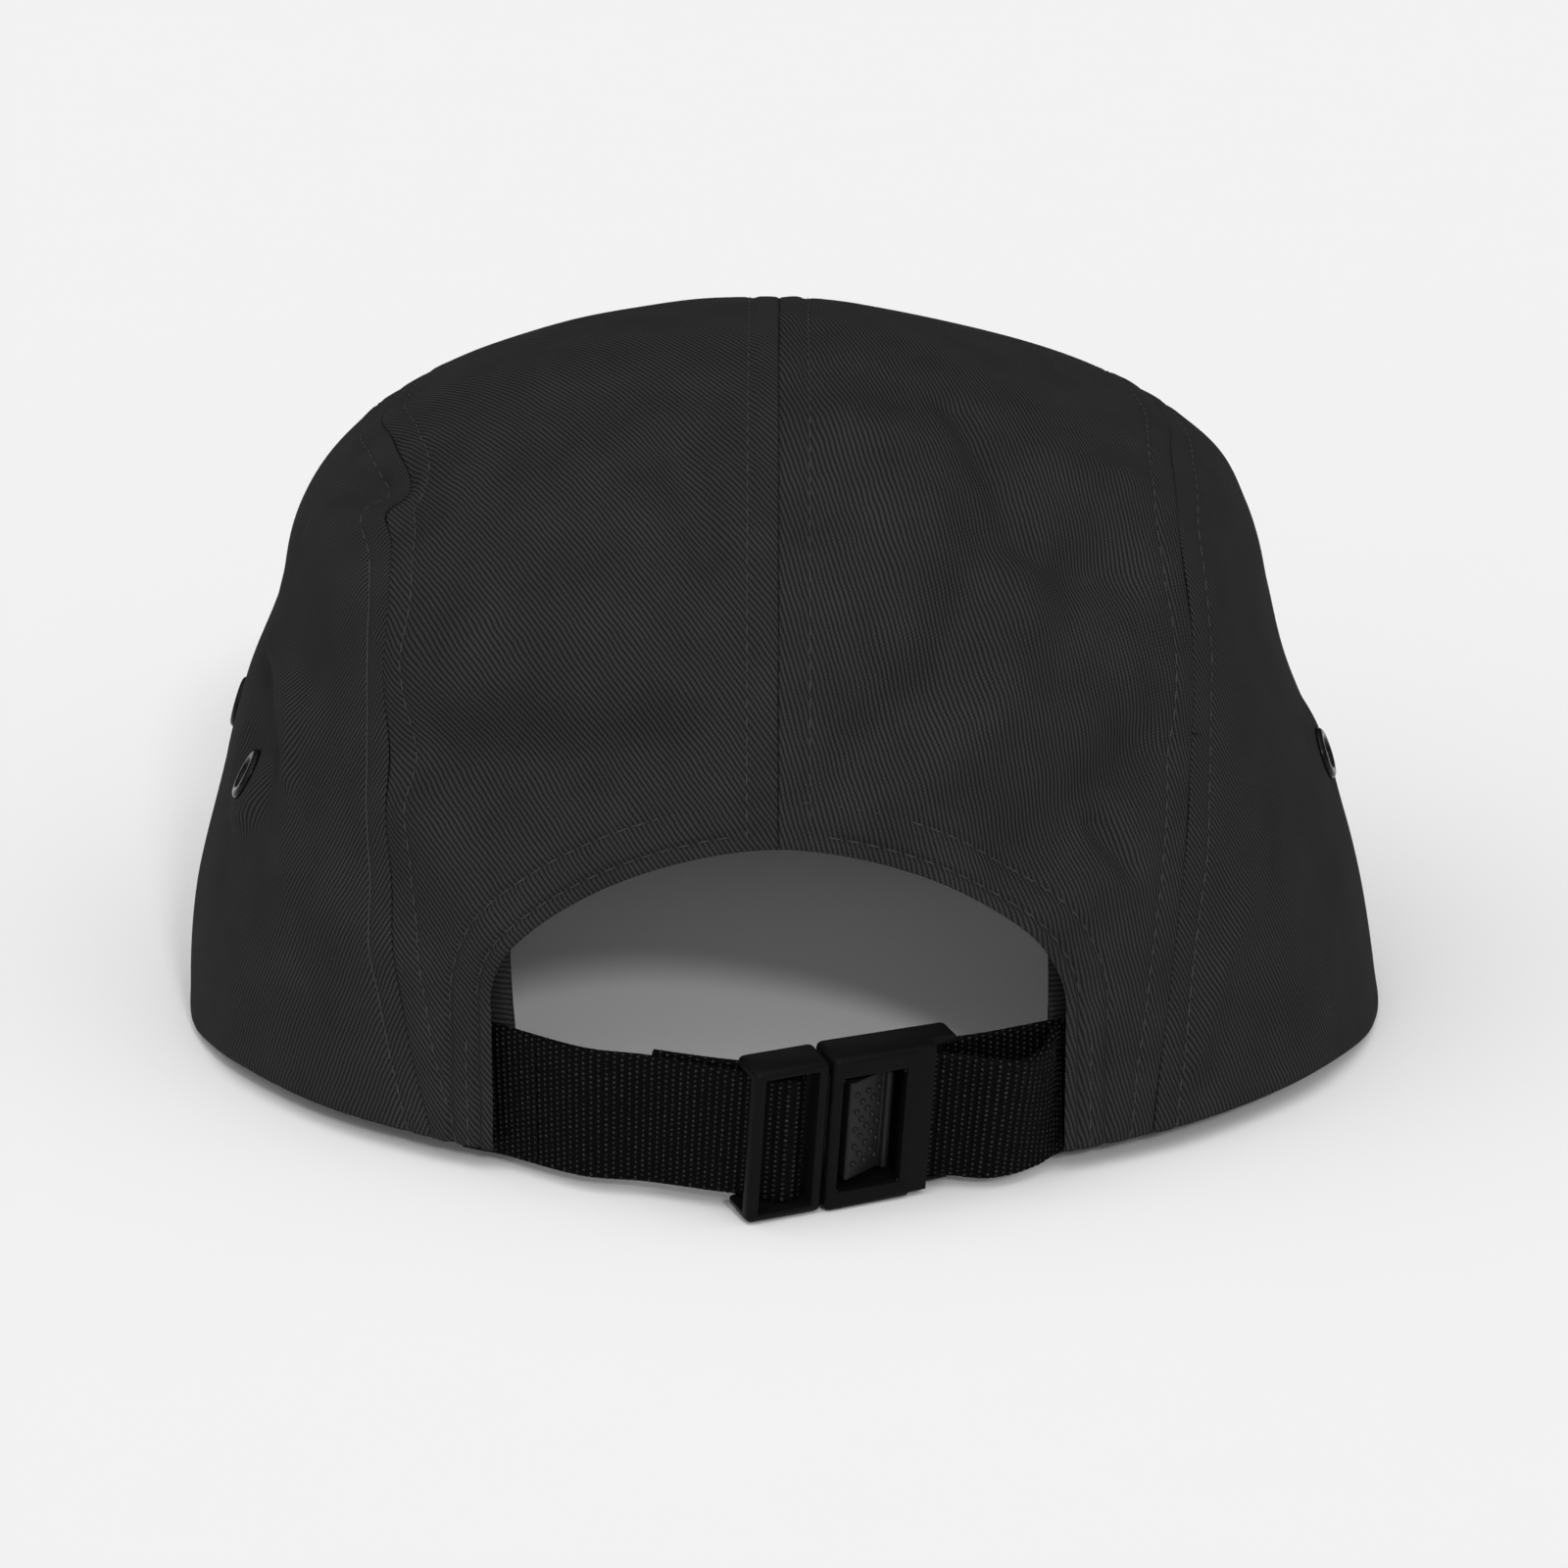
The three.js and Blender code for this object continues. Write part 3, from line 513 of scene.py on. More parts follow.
def twill_group() -> bpy.types.NodeTree:
    """Diagonal twill: ridges along X of a place in mm, made of short yarn floats, with fuzz and slubs. Its
    colour is lighter on the yarn crests and darker in the grooves between them, which is painted shade; fuzz
    and slubs add random tone.
    """
    group, tools, given, out = node_group(
        "diagonal_twill",
        [*PLACE_AND_COLOURS, ("Pitch", "NodeSocketFloat", 0.86)],
        COLOUR_AND_HEIGHT,
    )
    place = given.outputs["Place"]
    split = tools.add("ShaderNodeSeparateXYZ")
    tools.link(place, split.inputs[0])
    sway = tools.math("MULTIPLY_ADD", tools.noise(place, 0.16, 2.0), 0.8, -0.4)
    across = tools.math("ADD", split.outputs[1], sway)
    pitch = given.outputs["Pitch"]
    ridge = tools.math("POWER", tools.wave(across, pitch), 0.7)
    lean = tools.math("MULTIPLY", tools.math("DIVIDE", across, pitch), 0.5)
    floats = tools.wave(split.outputs[0], tools.math("MULTIPLY", pitch, 0.72), lean)
    yarn = tools.math("MULTIPLY", ridge, tools.math("MULTIPLY_ADD", floats, 0.35, 0.65))
    fuzz = tools.noise(place, 5.5, 3.0)
    slub = tools.noise(place, 0.09, 2.0)
    # The grooves between the yarns are painted darker as shade and the crests lighter; fuzz and slubs vary
    # the tone at random.
    groove_shade_and_yarn_tone = tools.math("MULTIPLY_ADD", tools.math("SUBTRACT", fuzz, 0.5), 0.75, yarn, clamp=True)
    groove_shade_and_yarn_tone = tools.math("MULTIPLY", groove_shade_and_yarn_tone, tools.math("MULTIPLY_ADD", slub, 0.7, 0.62), clamp=True)
    tools.link(tools.blend(groove_shade_and_yarn_tone, given.outputs["Dark"], given.outputs["Light"]), out.inputs["Color"])
    tools.link(tools.math("MULTIPLY_ADD", fuzz, 0.25, yarn), out.inputs["Height"])
    return group


def webbing_group() -> bpy.types.NodeTree:
    """Webbing: ribs across the strap, with X along the strap in mm, and rows of bright dots on the rib
    crests, which are painted glints of the yarn.
    """
    group, tools, given, out = node_group(
        "ribbed_webbing",
        [*PLACE_AND_COLOURS, ("Rib", "NodeSocketFloat", 1.15), ("Dot", "NodeSocketFloat", 0.8)],
        COLOUR_AND_HEIGHT,
    )
    place = given.outputs["Place"]
    split = tools.add("ShaderNodeSeparateXYZ")
    tools.link(place, split.inputs[0])
    rib, dot = given.outputs["Rib"], given.outputs["Dot"]
    crest = tools.wave(split.outputs[0], rib)
    ribs_passed = tools.math("FLOOR", tools.math("ADD", tools.math("DIVIDE", split.outputs[0], rib), 0.5))
    stagger = tools.math("MULTIPLY", ribs_passed, 0.5)
    wobble = tools.math("MULTIPLY_ADD", tools.noise(place, 1.3, 1.0), 0.5, stagger)
    beads = tools.wave(split.outputs[1], dot, wobble)
    bead = tools.math("MULTIPLY", tools.math("POWER", crest, 4.0), tools.math("POWER", beads, 3.0))
    # The bright dots on the rib crests are painted glints, not yarn of another colour.
    painted_glint = tools.math("MULTIPLY", bead, tools.math("MULTIPLY_ADD", tools.noise(place, 1.9, 2.0), 2.6, -0.75),
                       clamp=True)
    tools.link(tools.blend(painted_glint, given.outputs["Dark"], given.outputs["Light"]), out.inputs["Color"])
    lines = tools.wave(split.outputs[1], 0.4)
    tools.link(tools.math("ADD", bead, tools.math("MULTIPLY", lines, 0.3)), out.inputs["Height"])
    return group


def rib_group() -> bpy.types.NodeTree:
    """Ribbed band: fine ribs along X of the given place in mm, with a little yarn noise; the grooves between
    the ribs are painted darker as shade.
    """
    group, tools, given, out = node_group(
        "fine_ribs",
        [*PLACE_AND_COLOURS, ("Pitch", "NodeSocketFloat", 0.8)],
        COLOUR_AND_HEIGHT,
    )
    place = given.outputs["Place"]
    split = tools.add("ShaderNodeSeparateXYZ")
    tools.link(place, split.inputs[0])
    sway = tools.math("MULTIPLY", tools.noise(place, 0.5, 2.0), 0.5)
    rib = tools.wave(tools.math("ADD", split.outputs[1], sway), given.outputs["Pitch"])
    yarn = tools.wave(split.outputs[0], tools.math("MULTIPLY", given.outputs["Pitch"], 0.55))
    height = tools.math("MULTIPLY_ADD", yarn, 0.25, rib)
    # Ribs lighter and the grooves between them darker: painted shade, varied by random yarn tone.
    groove_shade_and_yarn_tone = tools.math("MULTIPLY", height, tools.math("MULTIPLY_ADD", tools.noise(place, 4.0, 2.0), 0.8, 0.4),
                      clamp=True)
    tools.link(tools.blend(groove_shade_and_yarn_tone, given.outputs["Dark"], given.outputs["Light"]), out.inputs["Color"])
    tools.link(height, out.inputs["Height"])
    return group


def grain_group() -> bpy.types.NodeTree:
    """Fine moulded grain with faint rub marks: for plastic and lacquer, on a place in metres."""
    group, tools, given, out = node_group(
        "moulded_grain",
        [*PLACE_AND_COLOURS, ("Grain", "NodeSocketFloat", 3000.0), ("Low", "NodeSocketFloat", 0.4),
         ("High", "NodeSocketFloat", 0.5)],
        (*COLOUR_AND_HEIGHT, ("Roughness", "NodeSocketFloat")),
    )
    place = given.outputs["Place"]
    fine = tools.add("ShaderNodeTexNoise")
    tools.link(place, fine.inputs["Vector"])
    tools.link(given.outputs["Grain"], fine.inputs["Scale"])
    cloud = tools.noise(place, 260.0, 3.0)
    tools.link(tools.blend(cloud, given.outputs["Dark"], given.outputs["Light"]), out.inputs["Color"])
    span = tools.math("SUBTRACT", given.outputs["High"], given.outputs["Low"])
    tools.link(tools.math("MULTIPLY_ADD", span, cloud, given.outputs["Low"]), out.inputs["Roughness"])
    tools.link(fine.outputs["Fac"], out.inputs["Height"])
    return group


@dataclass(frozen=True)
class Finish:
    """A material: one of the pattern groups, its values, and the shader's plain values.

    Args:
        name: name of the material.
        pattern: name of the node group it uses.
        dark: colour in the low parts of the pattern; on the cloth it is painted shade in the grooves.
        light: colour on the high parts; on the webbing it is painted glints on the rib crests.
        look: plain shader values.
        sizes: further inputs of the group.
        turn: turn of the pattern on the surface, in degrees.
        bump: depth of the relief in metres.
        strength: strength of the relief.
        on_uv: whether the pattern follows the piece's own UV map, in mm, or its place in metres.
    """

    name: str
    pattern: str
    dark: tuple[float, float, float]
    light: tuple[float, float, float]
    look: Look
    sizes: tuple[tuple[str, float], ...] = ()
    turn: float = 0.0
    bump: float = 0.0001
    strength: float = 0.8
    on_uv: bool = True

    def build(self) -> bpy.types.Material:
        """Makes the material."""
        material = bpy.data.materials.new(self.name)
        material.use_nodes = True
        material.node_tree.nodes.clear()
        tools = ShaderTools(material.node_tree)
        shader = tools.add("ShaderNodeBsdfPrincipled")
        output = tools.add("ShaderNodeOutputMaterial")
        tools.link(shader.outputs[0], output.inputs["Surface"])
        shader.inputs["Roughness"].default_value = self.look.roughness
        shader.inputs["Specular IOR Level"].default_value = self.look.specular
        where = tools.add("ShaderNodeTexCoord")
        turned = tools.add("ShaderNodeMapping")
        turned.inputs["Rotation"].default_value = (0.0, 0.0, math.radians(-self.turn))
        tools.link(where.outputs["UV" if self.on_uv else "Object"], turned.inputs["Vector"])
        pattern = tools.add("ShaderNodeGroup", node_tree=bpy.data.node_groups[self.pattern])
        tools.link(turned.outputs[0], pattern.inputs["Place"])
        pattern.inputs["Dark"].default_value = (*self.dark, 1.0)
        pattern.inputs["Light"].default_value = (*self.light, 1.0)
        for name, value in self.sizes:
            pattern.inputs[name].default_value = value
        tools.link(pattern.outputs["Color"], shader.inputs["Base Color"])
        if "Roughness" in pattern.outputs:
            tools.link(pattern.outputs["Roughness"], shader.inputs["Roughness"])
        bump = tools.add("ShaderNodeBump")
        bump.inputs["Strength"].default_value = self.strength
        bump.inputs["Distance"].default_value = self.bump
        tools.link(pattern.outputs["Height"], bump.inputs["Height"])
        tools.link(bump.outputs[0], shader.inputs["Normal"])
        return material


# Pieces


def mesh_of(name: str, body: bmesh.types.BMesh) -> bpy.types.Mesh:
    """Mesh with a body's shape; the body is freed."""
    mesh = bpy.data.meshes.new(name)
    body.to_mesh(mesh)
    body.free()
    return mesh


def body_of(mesh: bpy.types.Mesh) -> bmesh.types.BMesh:
    """New body with a mesh's shape."""
    body = bmesh.new()
    body.from_mesh(mesh)
    return body


def put_in_scene(name: str, data: bpy.types.ID) -> bpy.types.Object:
    """New object of a mesh, lamp or camera, linked to the scene."""
    thing = bpy.data.objects.new(name, data)
    bpy.context.scene.collection.objects.link(thing)
    return thing


def place_piece(
    name: str, mesh: bpy.types.Mesh, material: bpy.types.Material, nodes: Sequence[str] = (),
) -> bpy.types.Object:
    """Adds a finished mesh in row metres to the scene as a piece of the cap.

    Args:
        name: name of the piece.
        mesh: its mesh.
        material: its material.
        nodes: the CAD nodes that it stands for.

    Returns:
        The new object.
    """
    piece = put_in_scene(name, mesh)
    mesh.materials.append(material)
    mesh.polygons.foreach_set("use_smooth", np.ones(len(mesh.polygons), bool))
    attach(piece, "root")
    if nodes:
        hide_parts(*nodes)
    log.info("%s: %d faces", name, len(mesh.polygons))
    return piece


def grid_mesh(name: str, points: Array, uvs: Array, wrapped: bool = False) -> bpy.types.Mesh:
    """Grid of faces laid on a table of points.

    Args:
        name: name of the mesh.
        points: rows by columns by 3, in mm in the crown's frame.
        uvs: rows by columns by 2, in mm.
        wrapped: whether the last column meets the first, and the open ends are closed.

    Returns:
        The mesh in row metres, its faces pointing outwards.
    """
    rows, columns = points.shape[:2]
    body = bmesh.new()
    bmesh.ops.create_grid(body, x_segments=columns - 1, y_segments=rows - 1, size=0.5)
    body.verts.ensure_lookup_table()
    flat = np.array([vertex.co[:2] for vertex in body.verts])
    column = np.rint((flat[:, 0] + 0.5) * (columns - 1)).astype(int)
    row = np.rint((flat[:, 1] + 0.5) * (rows - 1)).astype(int)
    placed, laid = points[row, column], uvs[row, column]
    sheet = body.loops.layers.uv.new("cloth")
    for vertex, co in zip(body.verts, placed):
        vertex.co = co
    for face in body.faces:
        for loop in face.loops:
            loop[sheet].uv = laid[loop.vert.index]
    if wrapped:
        bmesh.ops.remove_doubles(body, verts=body.verts, dist=1e-5)
        bmesh.ops.holes_fill(body, edges=[edge for edge in body.edges if edge.is_boundary], sides=0)
        bmesh.ops.recalc_face_normals(body, faces=body.faces)
    bmesh.ops.transform(body, matrix=TO_ROW, verts=body.verts)
    return mesh_of(name, body)


def thicken(piece: bpy.types.Object, thickness: float) -> None:
    """Gives a sheet its thickness in mm, inwards."""
    wall = piece.modifiers.new("wall", "SOLIDIFY")
    wall.thickness = thickness / MM
    wall.offset = -1


def turn_faces(mesh: bpy.types.Mesh, outward: Callable[[Vector], Vector]) -> None:
    """Turns a sheet's faces round if most of them point against the outward direction at their centres."""
    body = body_of(mesh)
    if sum(face.normal.dot(outward(face.calc_center_median())) for face in body.faces) < 0:
        bmesh.ops.reverse_faces(body, faces=body.faces)
        body.to_mesh(mesh)
    body.free()


def grid_normals(points: Array) -> Array:
    """Unit normals of a table of points, along columns crossed with along rows."""
    return unit(np.cross(np.gradient(points, axis=1), np.gradient(points, axis=0)))


@dataclass
class Stitching:
    """Rows of thread stitches, gathered into one piece.

    Args:
        name: name of the piece.
        pitch: length of a stitch and the hole after it.
        gap: part of the pitch that is the hole.
        thread: width of the thread.
        flatness: its height as a share of its width.
        stand: how far its middle stands above the row's line.
        rows: the rows sewn so far.
    """

    name: str
    pitch: float = 2.75
    gap: float = 0.8
    thread: float = 0.26
    flatness: float = 0.84
    stand: float = 0.04
    rows: list[bmesh.types.BMesh] = field(default_factory=list)

    def sew(self, line: Array, normals: Array) -> None:
        """Adds a row of stitches.

        Args:
            line: points along the row, in mm in the crown's frame.
            normals: outward normal at each point.
        """
        lengths = arc_lengths(line)
        count = int(lengths[-1] / self.pitch)
        if count < 1:
            return
        body = bmesh.new()
        starts = np.arange(count) * (lengths[-1] / count)
        marks = (starts, starts + self.pitch - self.gap, starts + (self.pitch - self.gap) / 2)
        begin, end, middle = (
            np.stack([np.interp(mark, lengths, line[:, k]) for k in range(3)], axis=-1) for mark in marks
        )
        ups = unit(np.stack([np.interp(marks[2], lengths, normals[:, k]) for k in range(3)], axis=-1))
        for first, last, centre, up in zip(begin, end, middle, ups):
            along = unit(last - first)
            aside = unit(np.cross(up, along))
            rise = np.cross(along, aside)
            length = float(np.linalg.norm(last - first))
            turn = Matrix(np.column_stack([along, aside, rise])).to_4x4()
            turn.translation = centre + self.stand * rise
            scale = Matrix.Diagonal((length / 2, self.thread / 2, self.thread / 2 * self.flatness, 1))
            round_x = Matrix.Rotation(math.pi / 2, 4, "Y")
            place = turn @ scale @ round_x
            bmesh.ops.create_uvsphere(body, u_segments=6, v_segments=6, radius=1, matrix=place)
        self.rows.append(body)

    def finish(self, material: bpy.types.Material, slot: Slot) -> None:
        """Joins the rows into one piece."""
        whole = bmesh.new()
        part = bpy.data.meshes.new(self.name + "_row")
        for body in self.rows:
            body.to_mesh(part)
            whole.from_mesh(part)
            body.free()
        bpy.data.meshes.remove(part)
        bmesh.ops.transform(whole, matrix=TO_ROW, verts=whole.verts)
        place_piece(self.name, mesh_of(self.name, whole), material)


SEAM_RELIEF = SmoothTable(
    (0.0, 0.25, 0.6, 1.8, 3.2, 3.9, 4.6, 5.3, 8.0, 12.0),
    (-0.2, -0.06, 0.02, 0.1, 0.09, -0.1, -0.1, 0.04, 0.0, 0.0),
)
HEM_RELIEF = SmoothTable(
    (0.0, 0.35, 0.9, 1.6, 2.1, 2.5, 3.1, 4.6, 6.1, 6.8, 7.3, 8.0, 11.0),
    (-0.2, -0.04, 0.1, 0.14, -0.26, -0.26, 0.12, 0.2, 0.14, -0.3, -0.28, 0.08, 0.0),
)
RIM_RELIEF = SmoothTable((0.0, 0.35, 0.9, 2.0, 4.0, 6.0), (-0.3, -0.06, 0.1, 0.16, 0.05, 0.0))


class Edge(Enum):
    """Kinds of edge of a crown panel, each with its lift of the cloth by distance from it."""

    SEAM = SEAM_RELIEF
    HEM = HEM_RELIEF
    RIM = RIM_RELIEF


class GridSide(Enum):
    """Sides of a panel's grid, by the names of the panel's edges."""

    START = "start"
    END = "end"
    BOTTOM = "bottom"
    TOP = "top"


@dataclass(frozen=True)
class Border:
    """One stretch of a panel's border.

    Args:
        kind: what sort of edge it is.
        at: which side of the grid it is.
        span: shares of that side where the stretch begins and ends.
        rows: rows of stitches along it: the distance from it, and the shares of the side where the row
            begins and ends.
    """

    kind: Edge
    at: GridSide
    span: tuple[float, float] = (0.0, 1.0)
    rows: tuple[tuple[float, float, float], ...] = ()


def sewn_borders(*sides: GridSide) -> tuple[Border, ...]:
    """Seams along whole sides of a panel, each with its row of stitches."""
    return tuple(Border(Edge.SEAM, side, rows=((4.2, 0.0, 1.0),)) for side in sides)


def distances_to(points: Array, line: Array) -> Array:
    """Distance from each point of a table to a line of points."""
    flat = points.reshape(-1, 3)
    nearest = np.empty(len(flat))
    for first in range(0, len(flat), 4000):
        part = flat[first:first + 4000]
        squares = (part**2).sum(axis=1)[:, None] + (line**2).sum(axis=1)[None, :] - 2 * part @ line.T
        best = squares.argmin(axis=1)
        away = np.full(len(part), np.inf)
        for at in (np.maximum(best - 1, 0), np.minimum(best, len(line) - 2)):
            run = line[at + 1] - line[at]
            share = np.clip(((part - line[at]) * run).sum(axis=1) / (run**2).sum(axis=1), 0.0, 1.0)
            away = np.minimum(away, np.linalg.norm(part - line[at] - share[:, None] * run, axis=1))
        nearest[first:first + 4000] = away
    return nearest.reshape(points.shape[:2])


@dataclass(frozen=True)
class Seat:
    """Flat place of an eyelet: its centre in mm in the crown's frame, and its outward normal."""

    centre: tuple[float, float, float]
    normal: tuple[float, float, float]
    flat: float = 4.6
    reach: float = 11.0

    def settle(self, points: Array, normals: Array, lift: Array) -> Array:
        """Lift of the cloth once it lies flat under the eyelet's flange."""
        away = np.array(self.centre) - points
        level = (away @ np.array(self.normal)) / np.maximum((normals @ np.array(self.normal)), 0.3)
        share = 1 - smoothstep(np.linalg.norm(away, axis=-1), self.flat, self.reach)
        return lift * (1 - share) + np.clip(level, -3.0, 3.0) * share

    def place(self) -> Matrix:
        """Frame of the eyelet, its axis along Z."""
        turn = Vector(self.normal).to_track_quat("Z", "Y").to_matrix()
        return Matrix.Translation(self.centre) @ turn.to_4x4()


@dataclass
class Panel:
    """One cloth panel of the crown between four edges.

    Args:
        name: name of the piece and of the CAD node that it stands for.
        crown: the crown's shape.
        start, end, bottom, top: its edges; columns run from start to end and rows from bottom to top.
        columns, rows: size of the grid.
        borders: the stretches of its border.
        chart: flat cloth coordinates in mm for points of the panel.
        seed: start of its random unevenness.
        seats: places of its eyelets.
        crowding: how much the columns crowd towards the start and end edges, from 0 to 1.
        thickness: thickness of the cloth.
        hole_radius: radius of the holes under the eyelets.
        row_gap: a row of stitches is broken where its points jump further than this.
        unevenness: height of the cloth's long waves.
        pucker: height of the short waves along its seams.
        pucker_at, pucker_width: distance from a seam at which they are highest, and their reach from there.
    """

    name: str
    crown: CrownShape
    start: Curve
    end: Curve
    bottom: Curve
    top: Curve
    columns: int
    rows: int
    borders: tuple[Border, ...]
    chart: Callable[[Array], Array]
    seed: int
    seats: tuple[Seat, ...] = ()
    crowding: float = 0.68
    thickness: float = 1.5
    hole_radius: float = 3.7
    row_gap: float = 4.0
    unevenness: float = 0.14
    pucker: float = 0.12
    pucker_at: float = 4.6
    pucker_width: float = 3.2
    points: Array = field(init=False)
    plain: Array = field(init=False)
    normals: Array = field(init=False)
    reach: list[Array] = field(init=False)

    def __post_init__(self) -> None:
        """Lays the cloth on the crown, then adds folds, seams and unevenness."""
        across, up = np.linspace(0, 1, self.columns + 1), np.linspace(0, 1, self.rows + 1)
        across -= self.crowding * np.sin(2 * math.pi * across) / (2 * math.pi)
        directions = unit(self._patch(np.broadcast_to(across, (self.rows + 1, self.columns + 1)), up))
        self.plain = self.crown.cast(np.zeros_like(directions), directions)
        self.normals = self.crown.normals(self.plain)
        lift = sum(fold.lift(self.plain) for fold in FOLDS + CREASES)
        lift += self.unevenness * Ripple(self.seed, 9, 16.0, 48.0)(self.plain)
        self.reach = [distances_to(self.plain, self._line_of(border)) for border in self.borders]
        pucker = Ripple(self.seed + 100, 8, 6.0, 15.0)(self.plain)
        for kind in Edge:
            if any(border.kind is kind for border in self.borders):
                away = self._nearest(kind)
                sewn = np.exp(-(((away - self.pucker_at) / self.pucker_width) ** 2)) * (kind is not Edge.RIM)
                lift += kind.value(away) + self.pucker * pucker * sewn
        for seat in self.seats:
            lift = seat.settle(self.plain, self.normals, lift)
        self.points = self.plain + self.normals * lift[..., None]

    def _nearest(self, kind: Edge) -> Array:
        """Distance from each point to the nearest border of a kind."""
        found = [away for border, away in zip(self.borders, self.reach) if border.kind is kind]
        return np.minimum.reduce(found)

    def _patch(self, across: Array, up: Array) -> Array:
        """Points between the four edges, before they are cast on the crown."""
        u = across[..., None]
        v = np.broadcast_to(up[:, None, None], (*across.shape, 1))
        corners = [edge(np.array([0.0, 1.0])) for edge in (self.bottom, self.top)]
        flat = across.ravel()
        bottom, top = (edge(flat).reshape(*across.shape, 3) for edge in (self.bottom, self.top))
        start, end = self.start(up)[:, None, :], self.end(up)[:, None, :]
        low, high = corners
        return (
            bottom * (1 - v) + top * v + start * (1 - u) + end * u
            - low[0] * (1 - u) * (1 - v) - low[1] * u * (1 - v) - high[0] * (1 - u) * v - high[1] * u * v
        )

    def _line_of(self, border: Border) -> Array:
        """Points along a stretch of the border, a little finer than the grid."""
        curve: Curve = getattr(self, border.at.value)
        return curve(np.linspace(*border.span, 500))

    def build(self, material: bpy.types.Material) -> None:
        """Makes the piece: the sheet, its holes and its thickness."""
        mesh = grid_mesh(self.name, self.points, self.chart(self.plain))
        outward = Vector(self.normals[self.rows // 2, self.columns // 2])
        turn_faces(mesh, lambda centre: outward)
        body = body_of(mesh)
        for seat in self.seats:
            centre = TO_ROW @ Vector(seat.centre)
            inside = [
                face for face in body.faces
                if (face.calc_center_median() - centre).length < self.hole_radius / MM
            ]
            bmesh.ops.delete(body, geom=inside, context="FACES")
        bpy.data.meshes.remove(mesh)
        mesh = mesh_of(self.name, body)
        thicken(place_piece(self.name + "_cloth", mesh, material, (self.name,)), self.thickness)

    def sew(self, stitching: Stitching) -> None:
        """Adds the rows of stitches along the borders."""
        for border in self.borders:
            away = self._nearest(border.kind)
            for distance, start, end in border.rows:
                self._sew_row(stitching, border.at, away, distance, (start, end))

    def _sew_row(
        self, stitching: Stitching, at: GridSide, away: Array, distance: float, span: tuple[float, float],
    ) -> None:
        """Adds one row where the distance from a border's line reaches a value."""
        points, normals, reach = self.points, self.normals, away
        if at in (GridSide.BOTTOM, GridSide.TOP):
            points, normals, reach = points.transpose(1, 0, 2), normals.transpose(1, 0, 2), reach.T
        if at in (GridSide.END, GridSide.TOP):
            points, normals, reach = points[:, ::-1], normals[:, ::-1], reach[:, ::-1]
        count = len(points)
        low, high = (int(share * (count - 1)) for share in span)
        line, ups = [], []
        for k in range(low, high + 1):
            over = np.nonzero(reach[k] >= distance)[0]
            if len(over) == 0 or over[0] == 0:
                continue
            j = over[0]
            share = (distance - reach[k, j - 1]) / (reach[k, j] - reach[k, j - 1])
            line.append(points[k, j - 1] * (1 - share) + points[k, j] * share)
            ups.append(normals[k, j])
        if not line:
            return
        jumps = np.linalg.norm(np.diff(line, axis=0), axis=1) > self.row_gap
        runs = np.split(np.arange(len(line)), np.nonzero(jumps)[0] + 1)
        for run in runs:
            if len(run) > 3:
                stitching.sew(np.array(line)[run], np.array(ups)[run])


# Crown


# Dark is painted shade in the grooves of the weave; light is the yarn on its crests.
TWILL = Finish(
    "black_twill", "diagonal_twill", (0.0066, 0.0066, 0.0067), (0.0352, 0.0352, 0.035),
    Look(roughness=0.95, specular=0.08), (("Pitch", 0.71),), bump=0.00011,
)


@dataclass(frozen=True)
class EyeletSpot:
    """Where an eyelet sits: its azimuth, its share of the eyelets' height, and which way it faces."""

    name: str
    side: Side
    azimuth: float
    rise: float
    facing: float
    tilt: float

    def seat(self, shape: CrownShape, height: float) -> Seat:
        """The flat place of the eyelet on the crown's wall."""
        centre = shape.wall(np.array([self.azimuth]), np.array([height * self.rise]))[0]
        turn, tilt = math.radians(self.facing), math.radians(self.tilt)
        normal = (math.cos(turn) * math.cos(tilt), math.sin(turn) * math.cos(tilt), math.sin(tilt))
        return Seat(tuple(float(x) for x in centre), normal)


